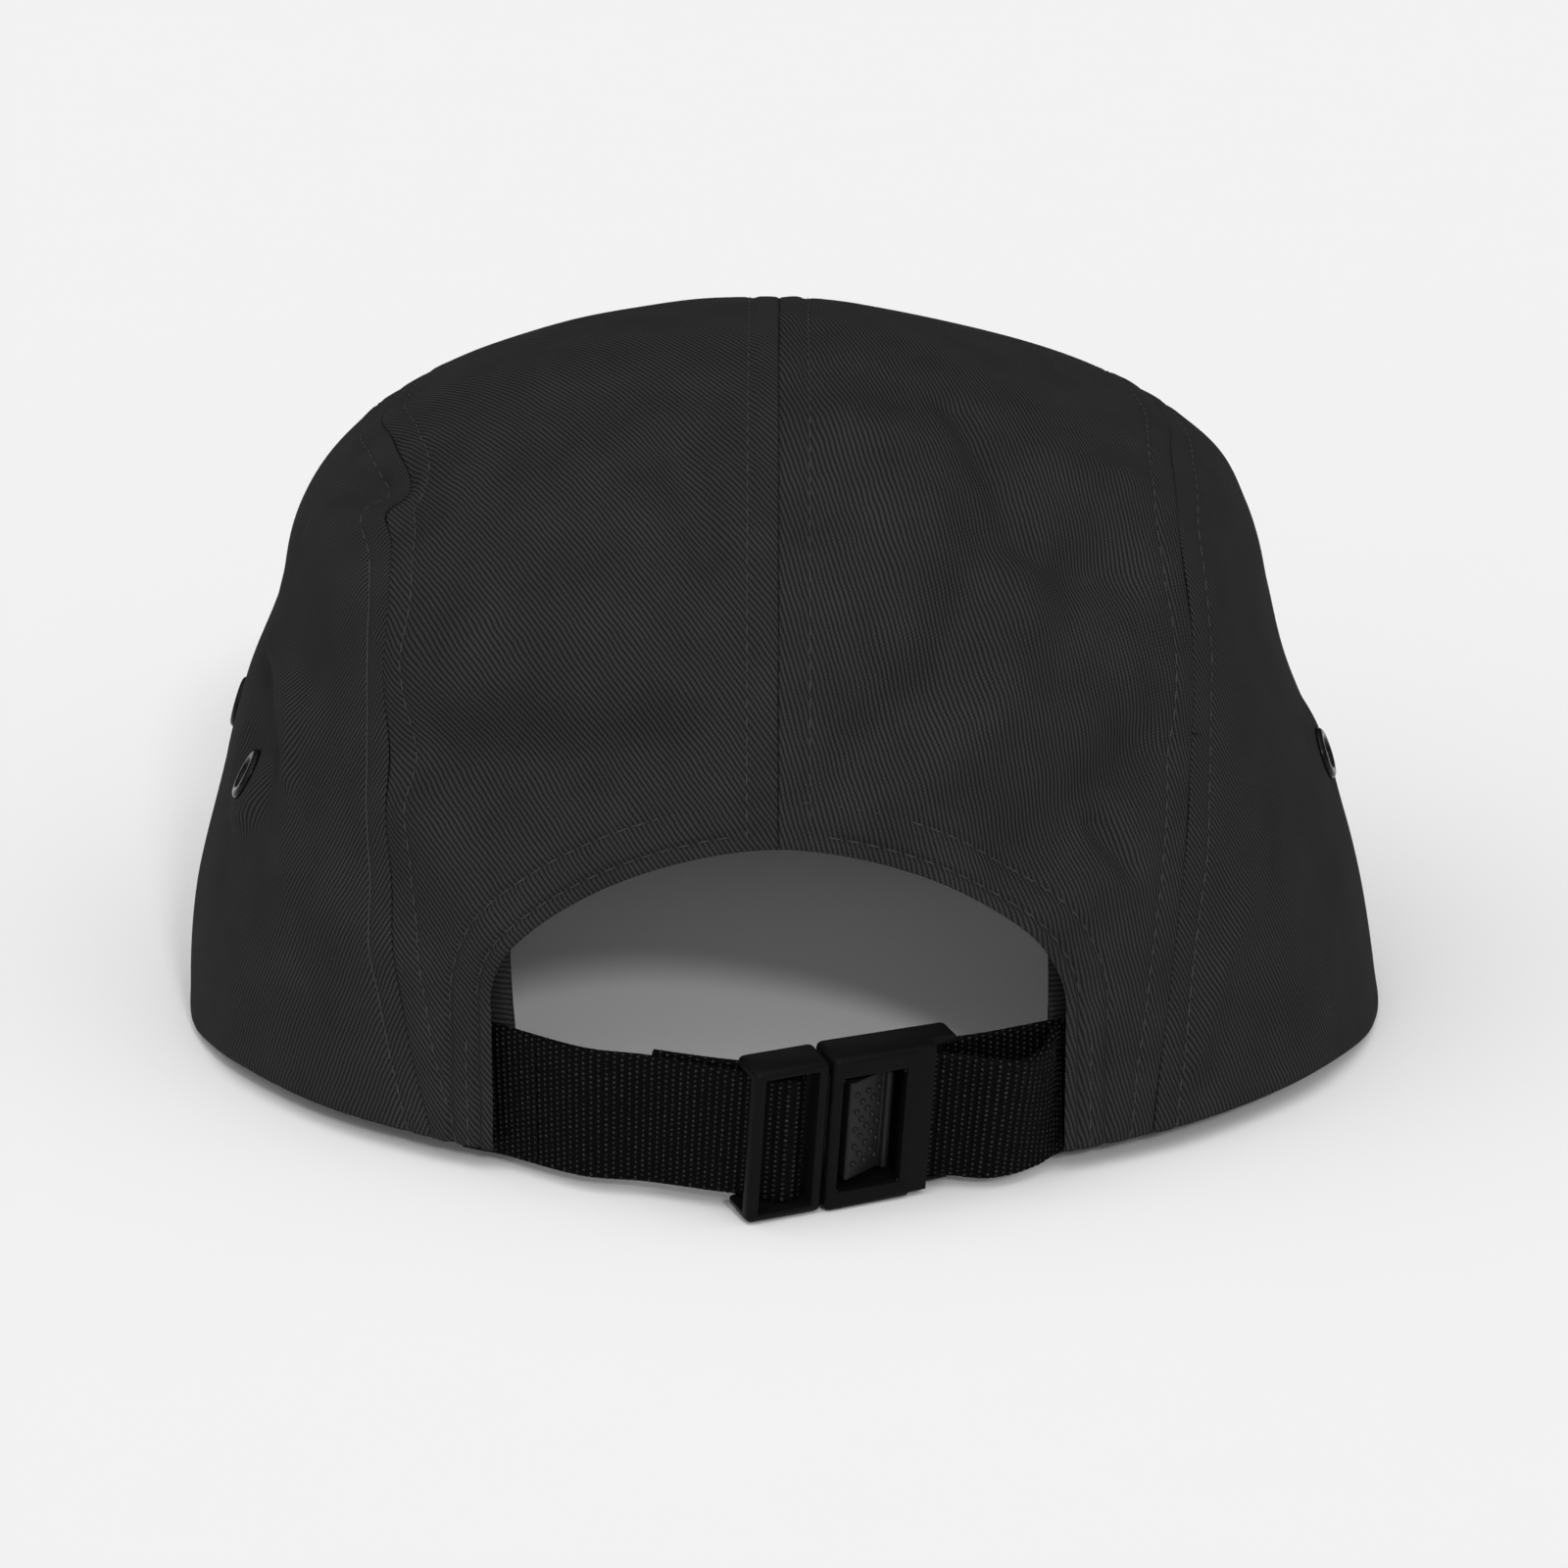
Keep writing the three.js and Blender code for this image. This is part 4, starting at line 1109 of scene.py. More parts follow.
@dataclass
class Crown:
    """The crown: five cloth panels and the stitching along their seams and hems.

    Args:
        shape: the form that the panels are laid on.
        eyelet_height: height of the eyelets' middles, which each spot's rise scales.
        eyelets: where the eyelets sit.
        side_turns, back_turns, front_turn: turn of the twill on the panels, left and right.
        arch_rows: rows of stitches round the arch, as in a border.
        shoulder: angle over the top at which a side panel turns from its back edge to its top edge.
        back_bend, side_bend, front_bend, front_bow: radii by which the cloth's flat coordinates follow the
            crown's curve.
    """

    shape: CrownShape
    eyelet_height: float = 47.0
    eyelets: tuple[EyeletSpot, ...] = (
        EyeletSpot("left_back_eyelet", Side.LEFT, 19.2, 0.985, 5.0, 29.0),
        EyeletSpot("left_front_eyelet", Side.LEFT, -4.7, 1.0, -3.0, 16.0),
        EyeletSpot("right_back_eyelet", Side.RIGHT, 175.0, 0.915, 172.5, 20.0),
        EyeletSpot("right_front_eyelet", Side.RIGHT, 199.0, 0.915, 197.0, 20.0),
    )
    side_turns: tuple[float, float] = (67.0, 113.0)
    back_turns: tuple[float, float] = (125.0, 106.0)
    front_turn: float = 122.0
    arch_rows: tuple[tuple[float, float, float], ...] = (
        (2.3, 0.18, 0.53), (7.0, 0.16, 0.57), (4.0, 0.0, 0.14),
    )
    shoulder: float = 50.0
    back_bend: float = 90.0
    side_bend: float = 88.0
    front_bend: float = 93.0
    front_bow: float = 96.0

    def build(self) -> None:
        """Makes the panels and sews them."""
        stitching = Stitching("crown_stitching")
        self._add(self._front(), self.front_turn, stitching)
        for k, side in enumerate(Side):
            self._add(self._back(side), self.back_turns[k], stitching)
            self._add(self._side(side), self.side_turns[k], stitching)
        stitching.finish(THREAD.build(), Slot.TWILL)

    def _add(self, panel: Panel, turn: float, stitching: Stitching) -> None:
        """Builds and sews one panel."""
        material = replace(TWILL, name=f"black_twill_{panel.name}", turn=turn).build()
        panel.build(material)
        panel.sew(stitching)

    def _back(self, side: Side) -> Panel:
        """Panel from the back rim over the top, on one side of the middle seam."""
        shape = self.shape
        leg, arch, arch_over = shape.arch(side)
        middle = path_of(shape.over(np.zeros(200), np.linspace(arch_over, shape.front_seam_over, 200)))
        foot, seam_foot = leg(np.zeros(1))[0], shape.seam(side, np.zeros(1))[0]
        knots = (1 / 6, 1 / 2)
        stretches = ((3, 14), (14, 40), (40, shape.corner_over))
        edge = [shape.seam_path(side, low, high) for low, high in stretches]
        arc = shape.back_arc()

        def chart(points: Array) -> Array:
            """Flat cloth coordinates: across the back, and over the top."""
            aside = -self.back_bend * np.arcsin(np.clip(points[..., 0] / self.back_bend, -0.99, 0.99))
            over = np.degrees(np.arctan2(points[..., 2], points[..., 1]))
            return np.stack([aside, arc(over)], axis=-1)

        return Panel(
            f"{side.label}_back_panel", shape,
            start=joined([leg, arch, middle], knots),
            end=joined(edge, knots),
            bottom=shape.rim_path(azimuth_of(foot), azimuth_of(seam_foot)),
            top=path_of(shape.front_seam(side.value * np.linspace(0, 1, 160))),
            columns=120, rows=300,
            borders=(
                Border(Edge.HEM, GridSide.START, (0.0, 0.5), self.arch_rows),
                Border(Edge.SEAM, GridSide.START, (0.5, 1.0), ((4.6, 0.5, 1.0),)),
                *sewn_borders(GridSide.END, GridSide.TOP),
                Border(Edge.RIM, GridSide.BOTTOM),
            ),
            chart=chart, seed=11 + side.value,
        )

    def _side(self, side: Side) -> Panel:
        """Side panel between the rim, the front panel's edge and the side seam."""
        shape = self.shape
        seam_foot = azimuth_of(shape.seam(side, np.zeros(1))[0]) - (0 if side is Side.LEFT else 360)
        arc = shape.climb_arc(0.0 if side is Side.LEFT else 180.0)

        def chart(points: Array) -> Array:
            """Flat cloth coordinates: round the side, and up it."""
            turn = np.degrees(np.arctan2(points[..., 1], points[..., 0]))
            turn = np.where((side is Side.RIGHT) & (turn < 0), turn + 360, turn)
            return np.stack([self.side_bend * np.radians(turn), arc(points[..., 2])], axis=-1)

        seats = [spot.seat(shape, self.eyelet_height) for spot in self.eyelets if spot.side is side]
        return Panel(
            f"{side.label}_side_panel", shape,
            start=shape.front_edge(side),
            end=shape.seam_path(side, 3, self.shoulder),
            bottom=shape.rim_path(shape.front_foot(side), seam_foot),
            top=shape.seam_path(side, shape.corner_over, self.shoulder),
            columns=230, rows=150,
            borders=(
                *sewn_borders(GridSide.START, GridSide.END, GridSide.TOP),
                Border(Edge.RIM, GridSide.BOTTOM),
            ),
            chart=chart, seed=31 + side.value, seats=tuple(seats), crowding=0.45,
        )

    def _front(self) -> Panel:
        """Front panel between the rim, the side panels and the seam over the top."""
        shape = self.shape
        arc = shape.climb_arc(-90.0)

        def chart(points: Array) -> Array:
            """Flat cloth coordinates: across the front, and up it."""
            aside = self.front_bend * np.arcsin(np.clip(points[..., 0] / self.front_bow, -0.99, 0.99))
            return np.stack([aside, arc(points[..., 2])], axis=-1)

        return Panel(
            "front_panel", shape,
            start=shape.front_edge(Side.LEFT),
            end=shape.front_edge(Side.RIGHT),
            bottom=shape.rim_path(shape.front_foot(Side.LEFT), shape.front_foot(Side.RIGHT)),
            top=path_of(shape.front_seam(np.linspace(1, -1, 300))),
            columns=270, rows=140,
            borders=(
                *sewn_borders(GridSide.START, GridSide.END, GridSide.TOP),
                Border(Edge.RIM, GridSide.BOTTOM),
            ),
            chart=chart, seed=51,
        )


def azimuth_of(point: Array) -> float:
    """Azimuth of a point in plan, in degrees."""
    return math.degrees(math.atan2(point[1], point[0]))


THREAD = Finish(
    "black_thread", "moulded_grain", (0.018, 0.018, 0.018), (0.052, 0.052, 0.052),
    Look(roughness=0.6, specular=0.2), (("Grain", 6000.0), ("Low", 0.5), ("High", 0.7)),
    bump=0.00003, strength=0.5, on_uv=False,
)
STRAP_THREAD = Finish(
    "strap_thread", "moulded_grain", (0.0016, 0.0016, 0.0018), (0.006, 0.006, 0.0064),
    Look(roughness=0.6, specular=0.05), (("Grain", 3000.0), ("Low", 0.5), ("High", 0.7)), on_uv=False,
)
METAL = Finish(
    "black_lacquered_metal", "moulded_grain", (0.004, 0.004, 0.0043), (0.007, 0.007, 0.0074),
    Look(roughness=0.18, specular=0.12),
    (("Grain", 2200.0), ("Low", 0.14), ("High", 0.24)), bump=0.00001, strength=0.25, on_uv=False,
)


@dataclass
class Eyelets:
    """Four turned metal eyelets on the side panels."""

    crown: Crown
    flange: float = 4.2
    barrel: float = 2.9
    bore: float = 2.2
    flange_thickness: float = 0.9
    back_thickness: float = 0.7
    roundness: float = 0.8
    clearance: float = 0.06
    cloth: float = 1.5
    steps: int = 56

    def build(self) -> None:
        """Makes the eyelets on the finished cloth."""
        material = METAL.build()
        for spot in self.crown.eyelets:
            place = TO_ROW @ spot.seat(self.crown.shape, self.crown.eyelet_height).place()
            place_piece(spot.name + "_ring", self._ring(spot.name, place), material, (spot.name,))

    def _profile(self) -> list[tuple[float, float]]:
        """Radius and height round one section of the ring, its outer flange rolled over."""
        middle, half = (self.bore + self.flange) / 2, (self.flange - self.bore) / 2
        roll = [
            (
                middle - half * math.cos(turn),
                self.clearance + self.flange_thickness * math.sin(turn) ** self.roundness,
            )
            for turn in np.linspace(0.0, math.pi, 15)
        ]
        foot = -self.cloth - 0.1
        back = [
            (middle + half * math.cos(turn), foot - self.back_thickness * math.sin(turn) ** self.roundness)
            for turn in np.linspace(0.0, math.pi, 9)
        ]
        return roll + [(self.barrel, 0.04), (self.barrel, foot)] + back

    def _ring(self, name: str, place: Matrix) -> bpy.types.Mesh:
        """One ring, spun about its axis."""
        body = bmesh.new()
        verts = [body.verts.new((radius, 0.0, height)) for radius, height in self._profile()]
        edges = [body.edges.new((verts[k - 1], verts[k])) for k in range(len(verts))]
        bmesh.ops.spin(
            body, geom=verts + edges, cent=(0, 0, 0), axis=(0, 0, 1), angle=2 * math.pi, steps=self.steps,
            use_merge=True,
        )
        bmesh.ops.remove_doubles(body, verts=body.verts, dist=1e-5)
        bmesh.ops.recalc_face_normals(body, faces=body.faces)
        bmesh.ops.transform(body, matrix=place, verts=body.verts)
        return mesh_of(name, body)


# Peak and band


@dataclass
class Peak:
    """Flat stitched peak: a covered board with a rounded edge and rows of stitches parallel to it."""

    shape: CrownShape
    length: float = 68.0
    thickness: float = 3.0
    foot_angle: float = 73.0
    tip_width: float = 2.5
    squareness: float = 2.5
    fit_gap: float = 0.3
    columns: int = 120
    rows: int = 240
    row_step: float = 6.2
    row_count: int = 8
    first_row: float = 3.2
    groove_depth: float = 0.16
    groove_width: float = 0.7
    crowding: float = 0.3
    twill_turn: float = 58.0

    def build(self) -> None:
        """Makes the peak and its stitching."""
        turn = np.linspace(0, 180, self.rows)
        inner = self._rim(-90 + self.foot_angle * np.cos(np.radians(turn)), self.fit_gap)
        outer = self._outline(turn)
        edge = self._outline(np.linspace(0, 180, 900))
        points, uvs = self._wrap(inner, outer, edge)
        mesh = grid_mesh("peak", points, uvs, wrapped=True)
        finish = replace(TWILL, name="black_twill_peak", turn=self.twill_turn)
        place_piece("peak_cover", mesh, finish.build(), ("peak",))
        stitching = Stitching("peak_stitching")
        for k in range(self.row_count):
            line = self._row(edge, self.first_row + k * self.row_step)
            stitching.sew(line, np.tile([0.0, 0.0, 1.0], (len(line), 1)))
        stitching.finish(THREAD.build(), Slot.TWILL)

    def _rim(self, azimuths: Array, away: float) -> Array:
        """Points at a distance outside the crown's foot, on the floor."""
        points = self.shape.wall(azimuths, 0 * azimuths)
        return points + unit(points) * away

    def _outline(self, turns: Array) -> Array:
        """Points of the outer edge by the turn from the wearer's left to the right."""
        tip = self._rim(np.array([self.foot_angle - 90.0]), self.fit_gap + self.tip_width)[0]
        reach = self.shape.reach + self.length + tip[1]
        angle, power = np.radians(turns), 2 / self.squareness
        across = np.sign(np.cos(angle)) * np.abs(np.cos(angle)) ** power
        along = np.clip(np.sin(angle), 0, 1) ** power
        return np.stack([tip[0] * across, tip[1] - reach * along, 0 * angle], axis=-1)

    def _relief(self, away: Array) -> Array:
        """Lift of the cover by the distance from the outer edge: a groove at each row of stitches."""
        lift = np.zeros_like(away)
        for k in range(self.row_count):
            beside = away - self.first_row - k * self.row_step
            lift -= self.groove_depth * np.exp(-((beside / self.groove_width) ** 2))
        return lift

    def _wrap(self, inner: Array, outer: Array, edge: Array) -> tuple[Array, Array]:
        """Points and flat coordinates of the cover, over the top from the crown and back below."""
        even = np.linspace(0, 1, self.columns)
        share = (1 - np.cos(math.pi * even)) / 2 * self.crowding + even * (1 - self.crowding)
        top = inner[:, None] * (1 - share[None, :, None]) + outer[:, None] * share[None, :, None]
        width = np.linalg.norm(outer - inner, axis=1)[:, None]
        from_edge = np.minimum(share[None, :], 1 - share[None, :]) * width
        away = distances_to(top, edge)
        half = self.thickness / 2
        round_off = np.minimum(half, width * 0.45)
        near = np.clip(from_edge / round_off, 0, 1)
        rise = half * np.sqrt(1 - (1 - near) ** 2)
        lift = self._relief(away) * (near >= 1)
        upper, lower = top.copy(), top.copy()
        upper[..., 2] = half + rise + lift
        lower[..., 2] = half - rise
        rolled = half * (1 - math.pi / 2 + np.arccos(1 - near)) - from_edge
        inwards = (1 - share[None, :]) * width + rolled * ((near < 1) & (share[None, :] > 0.5))
        flat = [
            outer[:, None, :2] + unit(inner - outer)[:, None, :2] * way[..., None]
            for way in (inwards, half * (2 - math.pi) - inwards)
        ]
        return tuple(np.concatenate([over, under[:, ::-1]], axis=1) for over, under in ((upper, lower), flat))

    def _row(self, edge: Array, distance: float) -> Array:
        """Line of one row of stitches on top of the peak."""
        along = np.gradient(edge, axis=0)
        inwards = unit(np.stack([-along[:, 1], along[:, 0], 0 * along[:, 0]], axis=-1))
        if inwards[len(edge) // 2, 1] < 0:
            inwards = -inwards
        line = edge + inwards * distance
        foot = self._rim(np.degrees(np.arctan2(line[:, 1], line[:, 0])), 2.0)
        outside = np.linalg.norm(line[:, :2], axis=1) > np.linalg.norm(foot[:, :2], axis=1)
        line = line[outside & (line[:, 1] < -20)]
        line[:, 2] = self.thickness - 0.13
        return line


@dataclass
class Sweatband:
    """Ribbed band inside the rim, open at the arch, with room for the ends of the straps behind it."""

    shape: CrownShape
    height: float = 29.0
    thickness: float = 1.3
    foot_height: float = 1.5
    left_end: tuple[float, float] = (63.5, 3.3)
    right_end: tuple[float, float] = (61.5, 2.0)
    cloth: float = 1.6
    fit_gap: float = 0.3
    web: float = 1.3
    slack: float = 0.6
    room_between: tuple[float, float] = (0.5, 0.78)
    length: float = 460.0
    bend: float = 88.0
    edge_roll: float = 0.55
    edge_reach: float = 0.7
    columns: int = 300
    rows: int = 40

    def build(self) -> None:
        """Makes the band."""
        across, up = np.meshgrid(np.linspace(0, 1, self.columns), np.linspace(0, 1, self.rows))
        left = self.left_end[0] - self.left_end[1] * up
        right = self.right_end[1] * up - 180 - self.right_end[0]
        azimuths = left + (right - left) * across
        heights = self.shape.rim_height(azimuths) + self.foot_height + self.height * up
        wall = self.shape.wall(azimuths, heights)
        normals = grid_normals(wall)
        if (normals * wall).sum(axis=2).mean() < 0:
            normals = -normals
        towards = smoothstep(np.sin(np.radians(azimuths)), *self.room_between)
        layers = np.where(wall[..., 0] > 0, 1, 2)
        room = 2 * self.slack + layers * (self.web + self.fit_gap)
        depth = self.cloth + 2 * self.fit_gap + room * towards
        border = np.minimum(
            np.minimum(up, 1 - up) * self.height, np.minimum(across, 1 - across) * self.length,
        )
        near = np.clip(border / self.edge_reach, 0, 1)
        rolled = self.edge_roll * (1 - np.sqrt(1 - (1 - near) ** 2))
        points = wall - normals * (depth + rolled)[..., None]
        uvs = np.stack([np.radians(azimuths) * self.bend, up * self.height], axis=-1)
        mesh = grid_mesh("sweatband", points, uvs)
        turn_faces(mesh, lambda centre: Vector((centre.x, centre.y - CROWN_SHIFT.y / MM, 0)))
        piece = place_piece("sweatband_cloth", mesh, BAND.build(), ("sweatband",))
        thicken(piece, self.thickness)


# Dark is painted shade in the grooves between the ribs.
BAND = Finish(
    "ribbed_band", "fine_ribs", (0.008, 0.008, 0.008), (0.036, 0.036, 0.0355),
    Look(roughness=0.92, specular=0.1), (("Pitch", 0.8),), bump=0.0002,
)


# Straps


# Light is the colour of the painted glints on the rib crests.
WEBBING = Finish(
    "black_webbing", "ribbed_webbing", (0.0016, 0.0015, 0.0018), (0.062, 0.06, 0.066),
    Look(roughness=0.55, specular=0.03), (("Rib", 1.15), ("Dot", 0.8)), bump=0.00016, strength=0.9,
)


@dataclass(frozen=True)
class BucklePlace:
    """Where the buckle stands: its frame runs along the strap, out from the crown, and up."""

    aside: float = -5.8
    back: float = 90.4
    yaw: float = 25.5
    lean: float = 8.0
    half_height: float = 12.5
    front: float = 4.0
    rear: float = -3.2

    @property
    def centre_height(self) -> float:
        """Height of the buckle's middle."""
        lean = math.radians(self.lean)
        return self.half_height * math.cos(lean) + self.front * math.sin(lean)

    @property
    def upright(self) -> Matrix:
        """Buckle's frame before its lean."""
        at = Matrix.Translation((self.aside, self.back, self.centre_height))
        return at @ Matrix.Rotation(math.radians(self.yaw), 4, "Z")

    @property
    def matrix(self) -> Matrix:
        """Buckle's frame."""
        return self.upright @ Matrix.Rotation(-math.radians(self.lean), 4, "X")


def centripetal(points: Array, steps: int = 24) -> Array:
    """Smooth line through points by the centripetal rule.

    Args:
        points: the points, one row each.
        steps: steps between two points.

    Returns:
        Points along the line.
    """
    padded = np.concatenate([[2 * points[0] - points[1]], points, [2 * points[-1] - points[-2]]])
    line = []
    for k in range(len(points) - 1):
        p0, p1, p2, p3 = padded[k:k + 4]
        d0, d1, d2 = (max(np.linalg.norm(b - a) ** 0.5, 1e-4) for a, b in ((p0, p1), (p1, p2), (p2, p3)))
        t1 = ((p1 - p0) / d0 - (p2 - p0) / (d0 + d1) + (p2 - p1) / d1) * d1
        t2 = ((p2 - p1) / d1 - (p3 - p1) / (d1 + d2) + (p3 - p2) / d2) * d1
        for share in np.arange(steps) / steps:
            line.append(
                p1 + t1 * share + (-3 * p1 + 3 * p2 - 2 * t1 - t2) * share**2
                + (2 * p1 - 2 * p2 + t1 + t2) * share**3
            )
    return np.array([*line, points[-1]])


@dataclass
class Strap:
    """Length of webbing from inside the crown, round its bar in the buckle and back.

    Args:
        side: the wearer's side.
        path: middle line in the buckle's frame: along, out and the lean outwards in degrees.
        returns: whether its free end goes back into the crown.
        seam_at: distance from its start of a line sewn across it, or 0 for none.
    """

    side: Side
    shape: CrownShape
    place: BucklePlace
    path: tuple[tuple[float, float, float], ...]
    returns: bool = False
    seam_at: float = 0.0
    width: float = 20.2
    thickness: float = 1.3
    drop: float = 0.6
    tuck: float = 6.0
    slack: float = 0.6
    cloth: float = 1.6
    fit_gap: float = 0.3
    wall_lean: float = -4.0
    rib: float = 1.15
    rib_depth: float = 0.09
    columns_per_rib: int = 7
    seam_margin: float = 1.2
    seam_stand: float = 0.03

    def build(self, stitching: Stitching) -> None:
        """Makes the strap and the line sewn across it."""
        line = [*self._tucked(0), *self.path]
        if self.returns:
            line += self._tucked(1)[::-1]
        smooth = centripetal(np.array(line))
        lengths = arc_lengths(smooth * (1, 1, 0))
        columns = int(lengths[-1] / self.rib * self.columns_per_rib)
        at = np.linspace(0, lengths[-1], columns)
        middle = np.stack([np.interp(at, lengths, smooth[:, k]) for k in range(3)], axis=-1)
        step = unit(np.gradient(middle[:, :2], axis=0))
        aside = np.stack([step[:, 1], -step[:, 0]], axis=-1)
        out, up = self._section()
        ribs = 1 + self.rib_depth / (self.thickness / 2) * np.cos(2 * math.pi * at / self.rib)
        lines = [self._lay(middle, aside, outwards * ribs, upwards) for outwards, upwards in zip(out, up)]
        points = np.stack(lines, axis=1)
        around = arc_lengths(np.stack([out, up], axis=-1))
        uvs = np.stack(np.broadcast_arrays(at[:, None], around[None, :]), axis=-1)
        mesh = grid_mesh(f"{self.side.label}_strap", points, uvs, wrapped=True)
        name = f"{self.side.label}_strap"
        place_piece(name + "_webbing", mesh, WEBBING.build(), (name,))
        if self.seam_at:
            k = int(np.searchsorted(at, self.seam_at))
            end = self.width / 2 - self.seam_margin
            ups = np.linspace(-end, end, 30)
            row, outer = (
                np.stack([self._lay(middle, aside, np.full(columns, height), up)[k] for up in ups])
                for height in (self.thickness / 2 + self.seam_stand, 3.0)
            )
            stitching.sew(row, unit(outer - row))

    def _tucked(self, layer: int) -> list[tuple[float, float, float]]:
        """Places inside the crown's wall where a layer is tucked, from the deepest to the arch's edge."""
        edge = azimuth_of(self.shape.back(
            np.array([self.side.value * self.shape.arch_half_width]), np.array([self.shape.arch_leg]))[0])
        depth = self.cloth + self.fit_gap + self.slack + self.thickness / 2
        depth += layer * (self.thickness + self.fit_gap)
        found = []
        for share in (1.0, 0.5, 0.0):
            azimuth = edge - self.side.value * math.degrees(share * self.tuck / self.shape.reach)
            point, normal = self.shape.wall_normal(azimuth, self.place.centre_height)
            flat = self.place.upright.inverted() @ (point - normal * depth)
            found.append((flat.x, flat.y, self.wall_lean))
        return found

    def _section(self) -> tuple[Array, Array]:
        """Out and up round the webbing's section, with rounded selvedges."""
        half, radius = self.width / 2, self.thickness / 2
        flat = np.linspace(-half + radius, half - radius, 22)
        turn = np.linspace(-math.pi / 2, math.pi / 2, 9)[1:-1]
        out = np.concatenate([np.full(22, radius), radius * np.sin(turn[::-1]), np.full(22, -radius),
                              radius * np.sin(turn), [radius]])
        up = np.concatenate([flat, half - radius + radius * np.cos(turn), flat[::-1],
                             -half + radius - radius * np.cos(turn), flat[:1]])
        return out, up

    def _lay(self, middle: Array, aside: Array, out: Array, up: float) -> Array:
        """Points of the webbing in the crown's frame, at one place of its section."""
        clamped = np.clip(middle[:, 1], self.place.rear, self.place.front)
        lean = -np.radians(middle[:, 2])
        x = middle[:, 0] + aside[:, 0] * out
        y = clamped + aside[:, 1] * out
        z = up - self.drop
        cosine, sine = np.cos(lean), np.sin(lean)
        leaned = np.stack([x, y * cosine - z * sine, y * sine + z * cosine], axis=-1)
        leaned[:, 1] += middle[:, 1] - clamped
        turn = np.array(self.place.upright)
        return leaned @ turn[:3, :3].T + turn[:3, 3]


# Buckle


PLASTIC = Finish(
    "matt_black_plastic", "moulded_grain", (0.0034, 0.0034, 0.0036), (0.005, 0.005, 0.0052),
    Look(roughness=0.3, specular=0.05), (("Grain", 4200.0), ("Low", 0.34), ("High", 0.44)),
    bump=0.00002, strength=0.5, on_uv=False,
)
# The thumb pad's copy of the buckle plastic is about twice as light. This is painted light that lifts the pad
# out of the shade of the window it sits in. Its higher gloss is a satin finish.
LIGHTENED_PAD = replace(
    PLASTIC, name="satin_black_plastic", dark=(0.0068, 0.0068, 0.007), light=(0.0092, 0.0092, 0.0095),
    look=Look(roughness=0.26, specular=0.18),
)


class Joining(Enum):
    """Ways to combine two solid shapes."""

    UNION = "UNION"
    DIFFERENCE = "DIFFERENCE"


class Workbench:
    """Makes solid shapes from blocks in the buckle's frame, in mm."""

    @staticmethod
    def block(along: Span, out: Span, up: Span) -> bmesh.types.BMesh:
        """Block between two corners."""
        body = bmesh.new()
        centre = Vector([(low + high) / 2 for low, high in (along, out, up)])
        size = Matrix.Diagonal([high - low for low, high in (along, out, up)] + [1])
        bmesh.ops.create_cube(body, size=1, matrix=Matrix.Translation(centre) @ size)
        return body

    @staticmethod
    def bar(along: float, out: float, radius: float, half: float) -> bmesh.types.BMesh:
        """Upright round bar."""
        body = bmesh.new()
        bmesh.ops.create_cone(
            body, cap_ends=True, segments=32, radius1=radius, radius2=radius, depth=2 * half,
            matrix=Matrix.Translation((along, out, 0)),
        )
        return body

    @staticmethod
    def combine(
        base: bmesh.types.BMesh, others: Iterable[tuple[Joining, bmesh.types.BMesh]],
    ) -> bmesh.types.BMesh:
        """Joins other shapes to a base or cuts them out.

        Args:
            base: the shape to begin with.
            others: how each further shape is combined with it, in order.

        Returns:
            The combined shape.
        """
        whole = Workbench._object(base)
        helpers = []
        for operation, other in others:
            helper = Workbench._object(other)
            step = whole.modifiers.new(operation.name, "BOOLEAN")
            step.operation, step.solver, step.object = operation.value, "EXACT", helper
            helpers.append(helper)
        body = bmesh.new()
        body.from_object(whole, bpy.context.evaluated_depsgraph_get())
        for used in (whole, *helpers):
            mesh = used.data
            bpy.data.objects.remove(used)
            bpy.data.meshes.remove(mesh)
        bmesh.ops.remove_doubles(body, verts=body.verts, dist=1e-4)
        bmesh.ops.dissolve_limit(body, angle_limit=math.radians(1), verts=body.verts, edges=body.edges)
        return body

    @staticmethod
    def _object(body: bmesh.types.BMesh) -> bpy.types.Object:
        """Temporary object of a shape."""
        return put_in_scene("bench", mesh_of("bench", body))

    @staticmethod
    def soften(body: bmesh.types.BMesh, width: float, angle: float = 35.0, segments: int = 3) -> None:
        """Rounds the edges sharper than an angle."""
        least = math.radians(angle)
        sharp = [edge for edge in body.edges if len(edge.link_faces) == 2 and edge.calc_face_angle() > least]
        bmesh.ops.bevel(
            body, geom=sharp, offset=width, offset_type="OFFSET", segments=segments, profile=0.5,
            affect="EDGES", clamp_overlap=True, material=-1,
        )

    @staticmethod
    def dot(body: bmesh.types.BMesh, centre: tuple[float, float, float], radius: float) -> None:
        """Adds a small ball to a body."""
        place = Matrix.Translation(centre)
        bmesh.ops.create_uvsphere(body, u_segments=12, v_segments=8, radius=radius, matrix=place)

    @staticmethod
    def add(body: bmesh.types.BMesh, other: bmesh.types.BMesh) -> None:
        """Puts a copy of another shape into a body, without joining them."""
        mesh = mesh_of("bench", other)
        body.from_mesh(mesh)
        bpy.data.meshes.remove(mesh)


